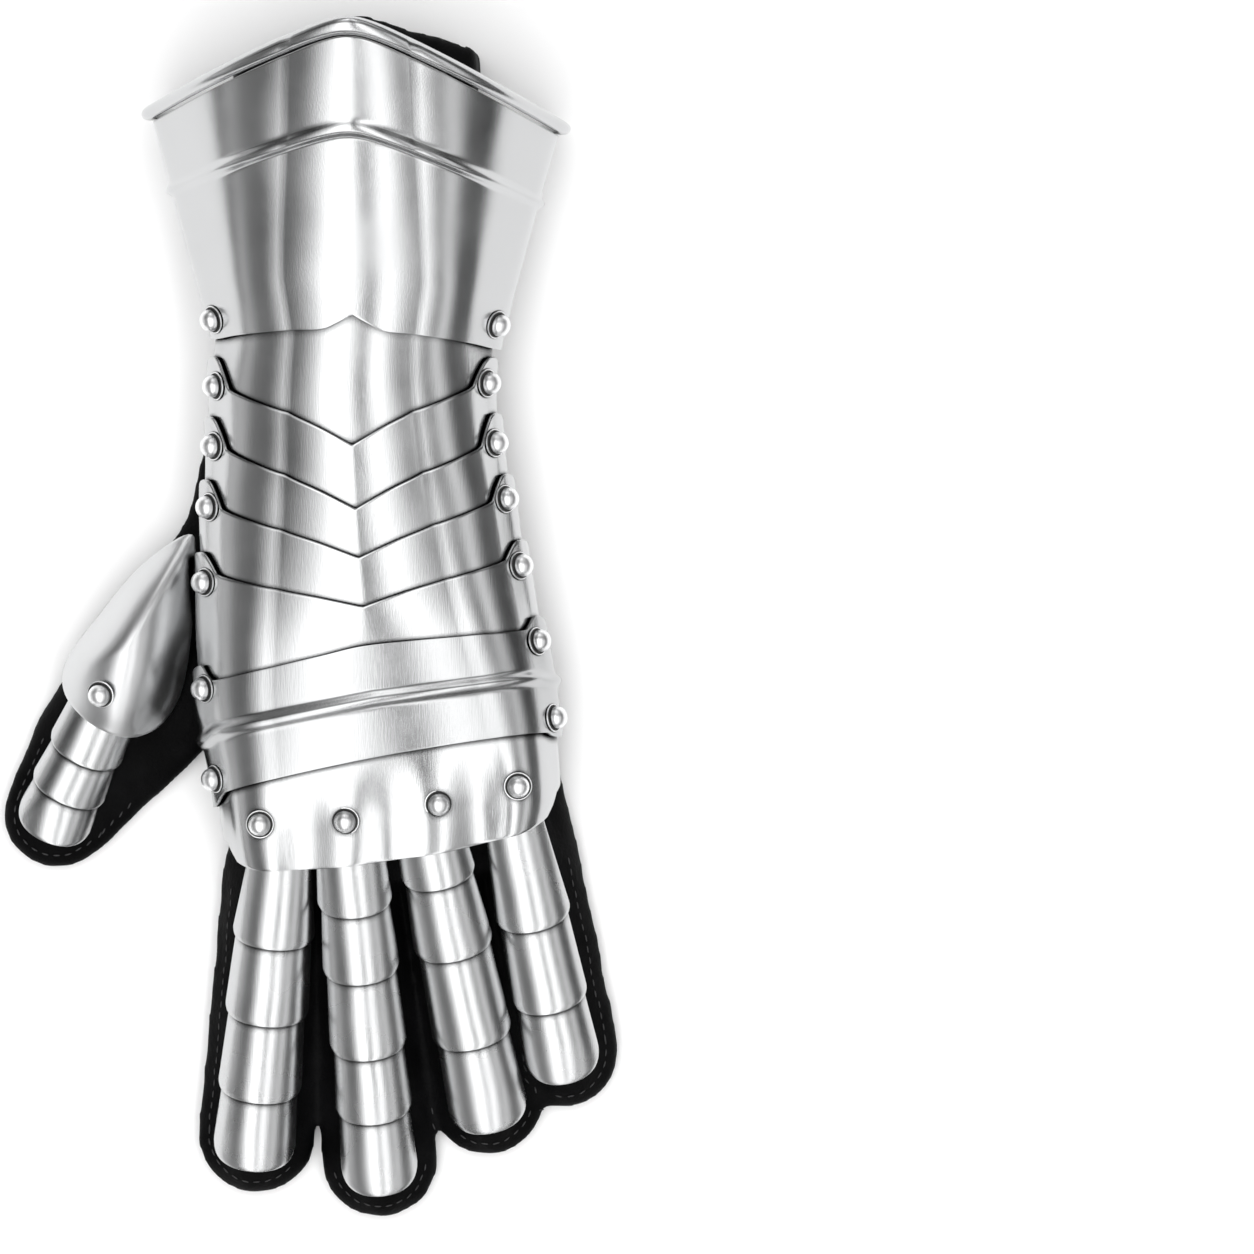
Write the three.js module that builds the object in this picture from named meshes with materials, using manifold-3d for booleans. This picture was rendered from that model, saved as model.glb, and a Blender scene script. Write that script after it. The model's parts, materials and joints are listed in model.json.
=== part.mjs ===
// An hourglass gauntlet for the left hand, lying palm down: a leather glove under steel plates.
// Millimetres. +Z is up, the fingers point to -Y, the cuff to +Y, and the thumb lies at -X.
// The origin is on the flat underside of the glove, below the metacarpal plate.

import * as THREE from 'three';
import { mergeVertices } from 'three/addons/utils/BufferGeometryUtils.js';
import Module from 'manifold-3d';

const wasm = await Module();
wasm.setup();

// ---------------------------------------------------------------- driving dimensions

const SHEET = 1.2;             // thickness of the steel plates
const LAP = 1.9;               // rise of a plate over the one that it covers
const SCALE_SHEET = 1.0;       // thickness of the finger scales
const SCALE_LAP = 1.4;         // rise of a scale over the one that it covers
const SCALE_CROWN = 14.6;      // radius of a scale over the finger
const LEATHER = 2.2;           // wall of the glove
const GAP = 0.35;              // between pieces that lie on each other

// The radii of a rivet and of its hole, then the depth of its tail and the rise of its stem and of its dome.
const RIVET = {
  shank: 1.9, hole: 2.6, tail: 3.0, stem: 2.9, dome: 3.75,
  tailDepth: 0.9, stemRise: 1.0, rise: 3.0,
};
const RIVET_PLAY = { head: 0.4, tail: 0.9 };   // between a rivet and the plates that turn on it
const RIVET_SIDES = 6;
const HOLE_SIDES = 6;
const HOLE_LENGTH = 14;

const BEAD = { half: 2.5, rise: 1.7 };      // raised bead on the cuff and on the knuckle plate
const ROLL = 2.6;                           // radius of the rolled rim

// ---------------------------------------------------------------- tables

// The back of the hand and wrist, a row for each section: its middle, its turn in plan in degrees, its
// half-width, its crown, where its shoulder lies as a share of the half-width and how far that is below the
// crown, the height of its hip, how far the skirt tucks in below it, the height of its lower edge, and how
// far the sides lie back.
const COLUMNS = ['y', 'x', 'turn', 'half', 'crown', 'shoulder', 'fall', 'hip', 'tuck', 'lip', 'sweep'];

const BACK = table(COLUMNS, [
  [120, 1, -1, 45.5, 52.5, 0.66, 6, 27, 2, 13, 0],
  [94, 0.6, -1, 44.2, 50.5, 0.66, 6, 27, 2, 13, 0],
  [74, -0.2, 0.6, 45.1, 48.5, 0.66, 6, 27, 2, 12, 0],
  [55, 0.7, 0.6, 46.8, 47.5, 0.67, 6, 27, 2, 12, 0],
  [37, 1.6, 1.5, 49.5, 46.5, 0.68, 6, 27, 2, 12, 0],
  [14, 3.2, 3, 52.5, 46, 0.71, 6, 26, 2, 12, 0],
  [-14, 5.8, 8.1, 55.5, 45, 0.76, 5.5, 25, 2, 12, 0],
  [-40, 10, 10.3, 55.2, 43, 0.82, 5, 23, 2, 11, 0],
  [-64, 12.4, 8.5, 54.2, 40, 0.86, 4.2, 20, 2, 10, 0],
  [-78, 12.4, 8, 50.5, 37.2, 0.88, 3.5, 18, 2, 9, 0],
  [-90, 12.4, 8, 46, 33, 0.88, 3, 17, 2, 9, 0],
]);

const CUFF = table(COLUMNS, [
  [195, 1.6, -2, 68.5, 97, 0.6, 14, 39, 5, 0.8, 28.4],
  [182, 1.4, -2, 65, 90, 0.6, 14, 38, 5, 0.8, 25.4],
  [168, 1.2, -2, 61.9, 83, 0.61, 12.5, 36, 4, 2, 22],
  [152, 1.1, -2, 58.4, 75.5, 0.62, 11, 34, 3.5, 4.5, 18.7],
  [130, 1, -2, 54, 66, 0.64, 9, 31, 3, 8.5, 13.2],
  [110, 1, -2, 49.9, 58.5, 0.66, 7.5, 29, 2.5, 12, 8.8],
  [95, 1, -2, 46.9, 54.4, 0.66, 6.5, 28, 2, 14, 6],
  [80, 1, -2, 44.5, 52.5, 0.66, 6, 27, 2, 15, 4],
]);

// Share of the way from the middle of a section to its lower edge at which each stretch of it begins.
const STRETCH = { bend: 0.42, side: 0.6, hip: 0.8, skirt: 0.9 };
const SHOULDER_ROUND = 8;
const HIP_ROUND = 3.5;
const TOP_BOW = 0.7;

// The points across a plate, as shares of the way from its middle to its lower edge.
const ACROSS = [0, 0.2, 0.42, 0.51, 0.6, 0.72, 0.83, 0.91, 1];

// A lame's upper edge: how deep it lies below its ears, as a share of its greatest depth at the middle.
const V_EDGE = [[0, 1], [0.2, 0.81], [0.42, 0.63], [0.51, 0.51], [0.6, 0.38], [0.72, 0.24], [0.83, 0],
  [0.91, 0.04], [1, 0.26]];

// Plates from the wrist to the hand: the ears and the middle of the upper edge, then of the hidden lower one.
const LAMES = [
  { name: 'wrist_lame_1', ears: 83.5, middle: 54.7, hiddenEars: 47.2, hiddenMiddle: 26.5 },
  { name: 'wrist_lame_2', ears: 65.2, middle: 34.7, hiddenEars: 28.8, hiddenMiddle: 11.5 },
  { name: 'wrist_lame_3', ears: 45.5, middle: 19.4, hiddenEars: 6.8, hiddenMiddle: -4 },
  { name: 'metacarpal_plate', ears: 23.6, middle: 4.0, hiddenEars: -23, hiddenMiddle: -21 },
];
const WRIST_PLATE = { top: 102, hiddenEars: 66.5, hiddenMiddle: 46.5 };

const KNUCKLE_TOP = [[-1, -12], [-0.91, -9], [-0.83, -8.4], [-0.72, -11.4], [-0.6, -12.4], [-0.42, -11],
  [-0.2, -9.4], [0, -8], [0.42, -9], [0.6, -9.8], [0.72, -8.6], [0.83, -5.4], [0.91, -5.8], [1, -9]];
const KNUCKLE_BEAD = [[0, -24.8], [0.42, -26], [0.6, -27], [0.8, -28.5], [1, -29]];
const KNUCKLE_BOTTOM = [[-1, -49], [-0.91, -50], [-0.83, -49.2], [-0.72, -47.2], [-0.6, -45.4],
  [-0.42, -43.6], [0, -42.4], [0.42, -43.2], [0.6, -44.6], [0.72, -46], [0.83, -46.4], [1, -46.2]];
const KNUCKLE_LAME_TOP = -33.5;
const KNUCKLE_LAME_BOTTOM = [[0, -76.2], [0.28, -75.6], [0.42, -74.4], [0.51, -72.8], [0.6, -69.6],
  [0.72, -66], [0.83, -61.5], [1, -57]];
const FLUTES = { valleys: [-27, 0, 28], half: 13, depth: 1.5, growth: 20 };

const CUFF_EDGE = [[0, 95.3], [0.08, 93.4], [0.2, 91.4], [0.42, 92], [0.6, 92.5], [0.83, 92.4], [1, 94]];
const CUFF_BEAD = 152;
const CUFF_RIM = 180;
const CUFF_ROWS = { neck: 1.5, flare: 168 };    // below the rim, and between it and the bead
const ROLL_ANGLES = [165, 105, 35];

// Rivet rows: where each crosses the middle of the hand, how far out it stands, and the plates that it joins.
// Each joins a plate to the one that it covers. The knuckle plate covers its neighbours on both sides.
const RIVET_ROWS = [
  { name: 'cuff_rivet', y: 94, out: 0.79, over: 'cuff', under: 'wrist_plate' },
  { name: 'wrist_rivet_1', y: 74.2, out: 0.775, over: 'wrist_lame_1', under: 'wrist_plate' },
  { name: 'wrist_rivet_2', y: 55.2, out: 0.775, over: 'wrist_lame_2', under: 'wrist_lame_1' },
  { name: 'wrist_rivet_3', y: 36.8, out: 0.77, over: 'wrist_lame_3', under: 'wrist_lame_2' },
  { name: 'metacarpal_rivet', y: 14.4, out: 0.765, over: 'metacarpal_plate', under: 'wrist_lame_3' },
  { name: 'knuckle_plate_rivet', y: -14.3, out: 0.745, over: 'knuckle_plate', under: 'metacarpal_plate' },
  { name: 'knuckle_lame_rivet', y: -40.5, out: 0.765, over: 'knuckle_plate', under: 'knuckle_lame' },
];

// Each finger: the middle of its scales at the knuckles and at the tip, the half-width of its scales and the
// height of their crown at both, how far along the finger each scale ends, and the stud at its root.
const FINGERS = [
  { name: 'index', root: [-22.5, -70], tip: [-32.6, -175.2], half: [10.6, 13.8], crown: [31.5, 23.5],
    ends: [34.6, 59.1, 83.6, 105.6], stud: [-28.8, -64.3] },
  { name: 'middle', root: [-0.9, -71], tip: [8.9, -183], half: [12.0, 12.8], crown: [34.3, 23.5],
    ends: [23.4, 44.7, 68.9, 89.3, 112.4], stud: [-1.8, -63.2] },
  { name: 'ring', root: [24.2, -66.5], tip: [44.3, -163], half: [12.0, 13.2], crown: [34.3, 23.5],
    ends: [19.2, 42.4, 71.1, 98.5], stud: [27.4, -57.8] },
  { name: 'pinky', root: [50.4, -62], tip: [68, -147.5], half: [10.4, 12.6], crown: [30.5, 23],
    ends: [37.5, 64.1, 87.1], stud: [52.4, -52.3] },
];
const THUMB = {
  name: 'thumb', root: [-79.4, -28], tip: [-98.9, -70.6], half: [12.6, 13.2], crown: [22.8, 19.5],
  ends: [19.5, 33, 46.6],
};

const SCALE_BOW = 8;           // bow of a scale's lower edge
const TIP_BOW = 12.5;          // bow of the last scale's lower edge
const SCALE_COVER = 4;         // least cover of one scale on the next, at its sides
const SCALE_GROWTH = 32;       // over this length a finger's scales widen from its root
const SCALE_CORNER = 0.985;    // share of a full arc at the ends of a scale's lower edge
const CROWN_EASE = 1.4;        // how fast a finger's crown falls from the knuckle
const TIP_DIP = { length: 14, fall: 3 };

// The thumb plate's outline and peak, the rings between them as shares of the way out, and how far its inside
// lies in from its outside, as a share of the distance from the peak.
const THUMB_PLATE = {
  outline: [[-52.5, 26, 22], [-66, 18.5, 20], [-81.5, 1, 16], [-92, -14, 15.5], [-92, -22.5, 19],
    [-86, -30.5, 24], [-77.4, -35.8, 25], [-69.5, -37.2, 22], [-61.5, -33.5, 17], [-55.4, -24, 15],
    [-53, -6, 17]],
  peak: [-70.5, -9, 35],
  sides: 22,
  rings: [1, 0.86, 0.62, 0.32],
  inset: 0.028,
  stud: [-79.2, -23.4],
};

// The glove's body: the middle, turn, half-width and height of each section, and the share of its half-width
// and of its height where it is broadest.
const GLOVE = table(['y', 'x', 'turn', 'half', 'top', 'shoulder', 'fall', 'sweep'], [
  [190.5, 1, 2, 38.5, 40, 0.55, 9, 12],
  [150, 1, 0, 38.5, 43, 0.58, 8, 4],
  [110, 1, 0, 38.3, 44.5, 0.62, 7, 0],
  [84, 1, 0, 38, 42.8, 0.64, 6, 0],
  [55, 1.1, 0.6, 40, 40.2, 0.66, 6, 0],
  [34, 1.8, 1.5, 43, 38.6, 0.68, 6, 0],
  [14, 3.1, 3, 46, 38.6, 0.7, 6, 0],
  [-14, 5.6, 8, 49, 39.4, 0.75, 5.5, 0],
  [-40, 10, 10.3, 49.4, 36.6, 0.8, 5, 0],
  [-60, 12.2, 8.8, 49, 33, 0.85, 4.5, 0],
  [-70, 12.6, 8, 49, 20, 0.88, 3, 0],
  [-84, 12.8, 8, 49, 16, 0.88, 3, 0],
]);
const GLOVE_HIP = { height: 20, share: 0.55 };  // where the sides bend over, at most this share of the top
const GLOVE_MOUTH = 10;        // by which the hollow runs past the sleeve's end
const GLOVE_FINGER_HALF = 17.5;
const GLOVE_THUMB_HALF = [19, 16.8];
const GLOVE_CREST = 4.6;       // from a scale's crown down to the leather
const THUMB_CREST = 6;
const GLOVE_ROOT_TOP = 12;     // height of the leather at the side of the hand
const GLOVE_REACH = 7.5;       // of the leather past the last scale
const GLOVE_STATIONS = [-18, 2, 14, 45];    // along a finger, from inside the hand
const FINGERTIP = { round: 16, bend: 0.42, end: 0.6, middle: 0.4, blunt: 0.02 };
const THUMB_START = 12;

// The middle, half-width and height of the glove along the thumb's root.
const THUMB_ROOT = [
  { at: [-34, 68], half: 12, top: 8 },
  { at: [-38, 48], half: 12, top: 8.5 },
  { at: [-43.5, 26], half: 12.5, top: 9 },
  { at: [-60, 1], half: 13, top: 15 },
  { at: [-73, -18], half: 17, top: 18 },
];

// ---------------------------------------------------------------- tables and curves

function table(columns, rows) {
  return rows.map((row) => Object.fromEntries(columns.map((column, i) => [column, row[i]])));
}

// A row of a table at any y, with every column passing smoothly through its values.
function sectionAt(rows, y) {
  let i = 0;
  while (i < rows.length - 2 && rows[i + 1].y > y) i += 1;
  const [a, b] = [rows[i], rows[i + 1]];
  const before = rows[Math.max(i - 1, 0)];
  const after = rows[Math.min(i + 2, rows.length - 1)];
  const span = b.y - a.y;
  const t = (y - a.y) / span;
  const section = { y };
  for (const column of Object.keys(a)) {
    if (column === 'y') continue;
    const slopeA = (b[column] - before[column]) / (b.y - before.y) * span;
    const slopeB = (after[column] - a[column]) / (after.y - a.y) * span;
    section[column] = (2 * t ** 3 - 3 * t ** 2 + 1) * a[column] + (t ** 3 - 2 * t ** 2 + t) * slopeA
      + (3 * t ** 2 - 2 * t ** 3) * b[column] + (t ** 3 - t ** 2) * slopeB;
  }
  return section;
}

// The value of a short list of [place, value] pairs at a place, straight between them.
function valueAt(pairs, place) {
  const i = Math.max(1, pairs.findIndex((pair) => pair[0] >= place));
  const [[p0, v0], [p1, v1]] = [pairs[i - 1], pairs[i]];
  return v0 + (v1 - v0) * (place - p0) / (p1 - p0);
}

const mix = (a, b, t) => a + (b - a) * t;
const between = (p, q, t) => p.clone().lerp(q, t);

// A rounded corner from start to end, with its corner point between them.
function corner(start, point, end, t) {
  return between(between(start, point, t), between(point, end, t), t);
}

// ---------------------------------------------------------------- surfaces

// Half of a section: crown, bowed top, rounded shoulder, flat side, rounded hip and skirt.
function halfSection(s, share) {
  const crown = new THREE.Vector2(0, s.crown);
  const shoulder = new THREE.Vector2(s.shoulder * s.half, s.crown - s.fall);
  const hip = new THREE.Vector2(s.half, s.hip);
  const lip = new THREE.Vector2(s.half - s.tuck, s.lip);
  const toward = (from, to, length) => to.clone().sub(from).setLength(length).add(from);
  const bendStart = toward(shoulder, crown, SHOULDER_ROUND);
  const bendEnd = toward(shoulder, hip, Math.min(SHOULDER_ROUND, shoulder.distanceTo(hip) / 2));
  const hipStart = toward(hip, shoulder, Math.min(HIP_ROUND, shoulder.distanceTo(hip) / 2.5));
  const hipEnd = toward(hip, lip, Math.min(HIP_ROUND, hip.distanceTo(lip) / 2));
  const { bend, side, hip: turn, skirt } = STRETCH;
  if (share <= bend) {
    const t = share / bend;
    return between(crown, bendStart, t).add(new THREE.Vector2(0, 4 * TOP_BOW * t * (1 - t)));
  }
  if (share <= side) return corner(bendStart, shoulder, bendEnd, (share - bend) / (side - bend));
  if (share <= turn) return between(bendEnd, hipStart, (share - side) / (turn - side));
  if (share <= skirt) return corner(hipStart, hip, hipEnd, (share - turn) / (skirt - turn));
  return between(hipEnd, lip, (share - skirt) / (1 - skirt));
}

// A surface through the rows of a table: u runs from -1 at the thumb side to 1, y along the hand.
function surfaceThrough(rows) {
  return (u, y) => {
    const s = sectionAt(rows, y);
    const { x, y: z } = halfSection(s, Math.min(Math.abs(u), 1));
    const side = Math.sign(u) * x;
    const turn = THREE.MathUtils.degToRad(s.turn);
    return new THREE.Vector3(
      s.x + side * Math.cos(turn), y + side * Math.sin(turn) - s.sweep * x / s.half, z);
  };
}

// The same surface with a rise above it, square to it.
function raised(surface) {
  const stepU = 0.02;
  const stepY = 0.5;
  return (u, y, rise) => {
    const across = surface(Math.min(u + stepU, 1), y).sub(surface(Math.max(u - stepU, -1), y));
    const onward = surface(u, y + stepY).sub(surface(u, y - stepY));
    return surface(u, y).addScaledVector(across.cross(onward).normalize(), rise);
  };
}

const onBack = raised(surfaceThrough(BACK));
const onCuff = raised(surfaceThrough(CUFF));

// ---------------------------------------------------------------- solids

function geometryOf(points, triangles) {
  const geometry = new THREE.BufferGeometry();
  geometry.setAttribute('position', new THREE.Float32BufferAttribute(points.flatMap((p) => p.toArray()), 3));
  geometry.setIndex(triangles.flat());
  return geometry;
}

function manifoldOf(geometry) {
  const bare = geometry.clone();
  bare.deleteAttribute('normal');
  bare.deleteAttribute('uv');
  const merged = mergeVertices(bare, 1e-4);
  return new wasm.Manifold(new wasm.Mesh({
    numProp: 3,
    vertProperties: new Float32Array(merged.attributes.position.array),
    triVerts: new Uint32Array(merged.index.array),
  }));
}

function fromManifold(solid) {
  const mesh = solid.getMesh();
  const geometry = new THREE.BufferGeometry();
  geometry.setAttribute('position', new THREE.BufferAttribute(new Float32Array(mesh.vertProperties), 3));
  geometry.setIndex(new THREE.BufferAttribute(new Uint32Array(mesh.triVerts), 1));
  return geometry;
}

// A closed wall between two grids of points: rows run from the cuff to the fingers, columns from -X to +X.
function wall(outer, inner) {
  const rows = outer.length;
  const columns = outer[0].length;
  const count = rows * columns;
  const triangles = [];
  const quad = (a, b, c, d) => triangles.push([a, b, c], [a, c, d]);
  const out = (i, j) => j * columns + i;
  const inn = (i, j) => count + out(i, j);
  for (let j = 0; j < rows - 1; j += 1) {
    for (let i = 0; i < columns - 1; i += 1) {
      quad(out(i, j), out(i, j + 1), out(i + 1, j + 1), out(i + 1, j));
      quad(inn(i, j), inn(i + 1, j), inn(i + 1, j + 1), inn(i, j + 1));
    }
    quad(out(0, j + 1), out(0, j), inn(0, j), inn(0, j + 1));
    const last = columns - 1;
    quad(out(last, j), out(last, j + 1), inn(last, j + 1), inn(last, j));
  }
  for (let i = 0; i < columns - 1; i += 1) {
    quad(out(i, 0), out(i + 1, 0), inn(i + 1, 0), inn(i, 0));
    const last = rows - 1;
    quad(out(i + 1, last), out(i, last), inn(i, last), inn(i + 1, last));
  }
  return geometryOf([...outer.flat(), ...inner.flat()], triangles);
}

// A plate on a raised surface: each row gives its place along the hand and the rise of both of its faces.
function plate(place, across, rows) {
  const outer = rows.map((row) => across.map((u) => place(u, row(u).y, row(u).rise)));
  const inner = rows.map((row) => across.map((u) => place(u, row(u).innerY ?? row(u).y, row(u).innerRise)));
  return wall(outer, inner);
}

// A solid through rings of points, closed with a fan at each end.
function loft(rings) {
  const sides = rings[0].length;
  const points = rings.flat();
  const triangles = [];
  for (let j = 0; j < rings.length - 1; j += 1) {
    for (let i = 0; i < sides; i += 1) {
      const next = (i + 1) % sides;
      triangles.push([j * sides + i, (j + 1) * sides + next, j * sides + next]);
      triangles.push([j * sides + i, (j + 1) * sides + i, (j + 1) * sides + next]);
    }
  }
  for (const end of [0, rings.length - 1]) {
    const middle = rings[end].reduce((sum, p) => sum.add(p), new THREE.Vector3()).divideScalar(sides);
    points.push(middle);
    for (let i = 0; i < sides; i += 1) {
      const pair = [end * sides + i, end * sides + (i + 1) % sides];
      triangles.push(end === 0 ? [...pair, points.length - 1] : [pair[1], pair[0], points.length - 1]);
    }
  }
  return geometryOf(points, triangles);
}

function mirrored(shares) {
  return [...shares.slice(1).map((share) => -share).reverse(), ...shares];
}

function turnTo(object, position, axis) {
  object.position.copy(position);
  object.quaternion.setFromUnitVectors(new THREE.Vector3(0, 0, 1), axis);
  object.updateMatrix();
}

// ---------------------------------------------------------------- materials

const steel = () => new THREE.MeshStandardMaterial({ color: 0xb9bcbf, metalness: 1, roughness: 0.25 });
const rivetSteel = () => new THREE.MeshStandardMaterial({ color: 0xc9cbcd, metalness: 1, roughness: 0.18 });
const leather = () => new THREE.MeshStandardMaterial({ color: 0x17161a, metalness: 0, roughness: 0.6 });

// ---------------------------------------------------------------- the hand plates

const acrossPlate = mirrored(ACROSS);

function lameEdge(ears, middle) {
  return (u) => ears + (middle - ears) * valueAt(V_EDGE, Math.abs(u));
}

const edges = LAMES.map((lame) => lameEdge(lame.ears, lame.middle));
edges.push((u) => valueAt(KNUCKLE_TOP, u));

// How high a lame stands over the back: a full lap at its upper edge, and none where the next lame begins.
// Past that it runs on under the next lame, a lap below it.
function lameRise(index, u, y) {
  const start = edges[index](u);
  const next = edges[index + 1](u);
  if (y >= next || index === LAMES.length - 1) return LAP * Math.max(0, (y - next) / (start - next));
  return lameRise(index + 1, u, y) - LAP;
}

function sheetRow(yAt, riseAt) {
  return (u) => {
    const y = yAt(u);
    const rise = riseAt(u, y);
    return { y, rise, innerRise: rise - SHEET };
  };
}

function lameGeometry(index) {
  const { hiddenEars, hiddenMiddle } = LAMES[index];
  const rise = (u, y) => lameRise(index, u, y);
  const hidden = lameEdge(hiddenEars, hiddenMiddle);
  const rows = [sheetRow(edges[index], rise)];
  if (index === LAMES.length - 1) {
    rows.push(sheetRow((u) => mix(edges[index](u), edges[index + 1](u), 0.5), rise));
  }
  rows.push(sheetRow(edges[index + 1], rise), sheetRow(hidden, rise));
  return plate(onBack, acrossPlate, rows);
}

function wristPlateGeometry() {
  const hidden = lameEdge(WRIST_PLATE.hiddenEars, WRIST_PLATE.hiddenMiddle);
  const rise = (u, y) => (y >= edges[0](u) ? 0 : lameRise(0, u, y) - LAP);
  return plate(onBack, acrossPlate, [
    sheetRow(() => WRIST_PLATE.top, rise),
    sheetRow((u) => mix(WRIST_PLATE.top, edges[0](u), 0.5), rise),
    sheetRow(edges[0], rise),
    sheetRow(hidden, rise),
  ]);
}

function knucklePlateGeometry() {
  const bead = (shift) => (u) => valueAt(KNUCKLE_BEAD, Math.abs(u)) + shift;
  const flat = () => LAP;
  return plate(onBack, acrossPlate, [
    sheetRow((u) => valueAt(KNUCKLE_TOP, u), flat),
    sheetRow(bead(BEAD.half), flat),
    sheetRow(bead(0), () => LAP + BEAD.rise),
    sheetRow(bead(-BEAD.half), flat),
    sheetRow((u) => valueAt(KNUCKLE_BOTTOM, u), flat),
  ]);
}

// The flutes run between the fingers, and deepen toward the lame's lower edge.
function knuckleLameGeometry() {
  const across = mirrored([0, 0.12, 0.24, 0.35, 0.46, 0.6, 0.72, 0.83, 0.91, 1]);
  const top = () => KNUCKLE_LAME_TOP;
  const bottom = (u) => valueAt(KNUCKLE_LAME_BOTTOM, Math.abs(u));
  const flute = (u, y) => {
    const section = sectionAt(BACK, y);
    const x = Math.sign(u) * halfSection(section, Math.abs(u)).x;
    const dip = FLUTES.valleys.reduce((sum, valley) => {
      const away = Math.min(1, Math.abs(x - valley) / FLUTES.half);
      return sum + Math.cos(away * Math.PI / 2) ** 2;
    }, 0);
    const grown = THREE.MathUtils.clamp((valueAt(KNUCKLE_BOTTOM, 0) - y) / FLUTES.growth, 0, 1);
    return -FLUTES.depth * dip * grown;
  };
  return plate(onBack, across, [
    sheetRow(top, flute),
    sheetRow((u) => valueAt(KNUCKLE_BOTTOM, u), flute),
    sheetRow((u) => mix(valueAt(KNUCKLE_BOTTOM, u), bottom(u), 0.5), flute),
    sheetRow(bottom, flute),
  ]);
}

// ---------------------------------------------------------------- the cuff

function cuffGeometry() {
  const flat = (y) => () => ({ y, rise: 0, innerRise: -SHEET });
  const bead = (shift, rise) => () => ({ y: CUFF_BEAD + shift, rise, innerRise: rise - SHEET });
  // The rim rolls outward round a wire: both faces part and meet again round a circle.
  const roll = (degrees) => () => {
    const angle = THREE.MathUtils.degToRad(degrees);
    const along = CUFF_RIM + ROLL - ROLL * Math.cos(angle);
    const lift = ROLL * Math.sin(angle);
    return { y: along, rise: lift + ROLL / 2, innerY: along, innerRise: ROLL / 2 - lift };
  };
  const edge = (share) => (u) => {
    const y = mix(valueAt(CUFF_EDGE, Math.abs(u)), CUFF_BEAD - 2 * BEAD.half, share);
    return { y, rise: 0, innerRise: -SHEET };
  };
  const across = mirrored([0, 0.08, 0.22, 0.42, 0.51, 0.6, 0.72, 0.83, 0.91, 1]);
  return plate(onCuff, across, [
    ...ROLL_ANGLES.map(roll),
    flat(CUFF_RIM - CUFF_ROWS.neck),
    flat(CUFF_ROWS.flare),
    bead(BEAD.half, 0), bead(0, BEAD.rise), bead(-BEAD.half, 0),
    edge(0.5), edge(0),
  ]);
}

// ---------------------------------------------------------------- rivets

// A rivet along +Z, with the outside of the outer plate at z = 0 and its tail below the inner plate.
function rivetGeometry(grip) {
  const tail = -grip - RIVET_PLAY.tail;
  const seat = RIVET_PLAY.head;
  const brim = seat + RIVET.stemRise;
  const profile = [
    [0, tail - RIVET.tailDepth], [RIVET.tail, tail - RIVET.tailDepth], [RIVET.tail, tail],
    [RIVET.shank, tail], [RIVET.shank, seat], [RIVET.stem, seat], [RIVET.stem, brim], [RIVET.dome, brim],
    [RIVET.dome * 0.78, brim + RIVET.rise * 0.62], [0, brim + RIVET.rise],
  ].map(([radius, height]) => new THREE.Vector2(radius, height));
  const geometry = new THREE.LatheGeometry(profile, RIVET_SIDES);
  geometry.rotateX(Math.PI / 2);
  return geometry;
}

// Where a rivet goes through: its seat on the outer plate, the way out of it, and how far down the inside of
// the inner plate is. Both ends clear the plates all round, also where these bend.
function spotThrough(over, under, from, inward) {
  const reach = 30;
  const hitOn = (geometry, origin, direction) => new THREE.Raycaster(origin, direction)
    .intersectObject(new THREE.Mesh(geometry, new THREE.MeshBasicMaterial()))[0];
  const { point, face } = hitOn(over, from, inward);
  const axis = face.normal.clone();
  const aside = new THREE.Vector3(0, 1, 0).cross(axis).normalize();
  const round = (radius) => [0, 1, 2, 3, 4, 5].map((i) => point.clone()
    .addScaledVector(aside.clone().applyAxisAngle(axis, i * Math.PI / 3), radius)).concat(point.clone());
  const nearest = (geometry, radius, side) => Math.min(...round(radius)
    .map((p) => hitOn(geometry, p.addScaledVector(axis, side * reach), axis.clone().multiplyScalar(-side)))
    .filter(Boolean).map((hit) => hit.distance));
  const seat = reach - nearest(over, RIVET.stem, 1);
  const depth = reach - nearest(under, RIVET.tail, -1);
  return { position: point.addScaledVector(axis, seat), axis, grip: depth + seat };
}

function drill(geometry, spots) {
  let solid = manifoldOf(geometry);
  for (const { position, axis } of spots) {
    const bit = new THREE.CylinderGeometry(RIVET.hole, RIVET.hole, HOLE_LENGTH, HOLE_SIDES);
    bit.rotateX(Math.PI / 2);
    const holder = new THREE.Object3D();
    turnTo(holder, position, axis);
    bit.applyMatrix4(holder.matrix);
    solid = solid.subtract(manifoldOf(bit));
  }
  return fromManifold(solid);
}

// ---------------------------------------------------------------- fingers

function fingerFrame(finger) {
  const root = new THREE.Vector2(...finger.root);
  const run = new THREE.Vector2(...finger.tip).sub(root);
  return { root, length: run.length(), turn: Math.atan2(run.x, -run.y), onward: run.clone().normalize() };
}

// The crown of a finger's scales along it: it falls quickly from the knuckle and dips at the tip.
function crownAt(finger, along) {
  const { length } = fingerFrame(finger);
  const left = THREE.MathUtils.clamp(1 - along / length, 0, 1);
  const tipDip = TIP_DIP.fall * Math.max(0, (along - length) / TIP_DIP.length + 1) ** 2;
  return mix(finger.crown[1], finger.crown[0], left ** CROWN_EASE) - tipDip;
}

function scaleHalfAt(finger, along) {
  return mix(finger.half[0], finger.half[1], THREE.MathUtils.clamp(along / SCALE_GROWTH, 0, 1));
}

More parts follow.
